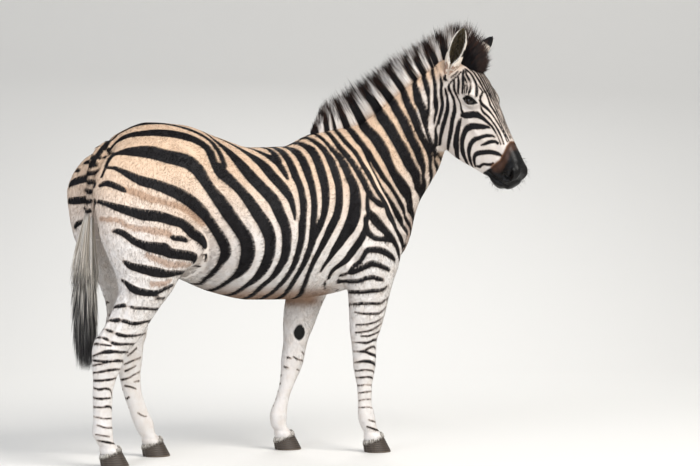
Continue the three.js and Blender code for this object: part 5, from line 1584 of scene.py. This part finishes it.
fine, fine_tree, fine_shader = new_material(
    "fine hair of ears, lids and feet", Roughness=0.6, Specular_IOR_Level=0.2
)
fine_tone = read(fine_tree, "tone")
fine_colour = mixed(fine_tree, ramp_node(fine_tree, fine_tone, 0.0, 0.5), "#0b090a", "#4d4129")
fine_colour = mixed(fine_tree, ramp_node(fine_tree, fine_tone, 0.5, 1.0), fine_colour, "#e9e4dd")
fine_tree.links.new(fine_colour, fine_shader.inputs["Base Color"])


def ear_wool(side, count):
    """Hair rooted inside the ear's wall or on its rim, that leans up and in over the opening."""
    foot, rise, up, opening, across = ear_axes(side)
    t = chance.uniform(0.06, 0.94, count)
    wide, deep, turn = at_rows(EAR_ROWS, t).T
    rim = chance.uniform(0, 1, count) < 0.5
    q = np.where(rim, np.sign(chance.uniform(-1, 1, count)) * 0.97, chance.uniform(-0.85, 0.85, count)) * turn
    section = [((wide - 2) * np.sin(q))[:, None] * across, -((deep - 2) * np.cos(q))[:, None] * opening]
    root = foot + t[:, None] * rise + section[0] + section[1]
    inward = np.cos(q)[:, None] * opening - np.sin(q)[:, None] * across
    length = (np.where(rim, 13, 19) * chance.uniform(0.6, 1.1, count) * np.where(t > 0.85, 0.6, 1))[:, None]
    way = 0.95 * up + np.where(rim, 0.3, 0.55)[:, None] * inward + 0.3 * opening
    way = way + chance.normal(0, 0.12, (count, 3))
    tone = np.where(rim, chance.uniform(0.78, 1.0, count), chance.uniform(0.15, 0.7, count))
    made = locks(root, root + length * (0.5 * way + 0.12 * inward), root + length * way, 0.9 + 0 * t, 2)
    return made, tone, root


for name, side in (("ear_left_wool", 1), ("ear_right_wool", -1)):
    made, tone, root = ear_wool(side, 2600)
    hair_piece(name, made, fine, {"tone": tone}, root)

lash_roots, lash_ways = [], []
for side in (-1, 1):
    middle, axes = eye_axes(side)
    a = np.linspace(-24, 25, 60)
    b = 14.5 * (1 - (np.abs(a) / 27.5) ** 2.2) + 0.5
    c = np.sqrt(np.maximum((EYE_RADIUS + 3.4) ** 2 - a**2 - b**2, 4))
    lash_roots.append(middle + np.stack([a, b, c], 1) @ axes)
    lash_ways.append(np.stack([a / 60, 0 * a - 0.12, 0 * a + 1], 1) @ axes + chance.normal(0, 0.1, (60, 3)))
root, way = np.concatenate(lash_roots), np.concatenate(lash_ways)
made = locks(root, root + 7 * way, root + 12 * way - [0, 0, 2.5], 0.55 + 0 * root[:, 0], 3)
hair_piece("eyelashes", made, fine, {"tone": 0.02 + 0 * root[:, 0]}, root)

lips = np.flatnonzero((skin_marks["black"] < -12) & (on_head(skin_points)[:, 0] > 440))
lips = chance.choice(lips, 260)
root, way = skin_points[lips], skin_out[lips] + 0.5 * HEAD[1][0] + chance.normal(0, 0.25, (260, 3))
length = chance.uniform(8, 22, (260, 1))
bend = root + 0.5 * length * skin_out[lips]
made = locks(root, bend, root + length * way * 0.8, 0.35 + 0 * length[:, 0], 3)
hair_piece("whiskers", made, fine, {"tone": chance.uniform(0.05, 0.3, 260)}, root)

fringe = []
for name in LEG_NAMES:
    side, rows = (1 if name.startswith("left") else -1), (FORE_ROWS if name.endswith("fore") else HIND_ROWS)
    angle = chance.uniform(0, 2 * math.pi, 420)
    px = np.sign(np.cos(angle)) * np.abs(np.cos(angle)) ** np.where(np.cos(angle) < 0, 0.72, 1) * 40
    py = np.sin(angle) * 34
    top = CORONET + SLOPE * px + chance.uniform(-2, 3, 420)
    x = STANCE[name][0][1] + 0 * px
    y = side * rows[0][3] + 0 * px
    root = np.stack([x + 0.90 * px, y + 0.90 * py, top + 9], 1)
    tip = np.stack([x + 3 + 1.10 * px, y + 1.10 * py, top - 8], 1)
    fringe.append(np.stack([root, 0.5 * (root + tip) + np.stack([0.1 * px, 0.1 * py, 0 * px + 2], 1), tip]))
root, bend, tip = np.concatenate(fringe, 1)
made = locks(root, bend, tip, 1.1 + 0 * root[:, 0], 2)
hair_piece("coronet_hair", made, fine, {"tone": chance.uniform(0.62, 1.0, len(root))}, root)
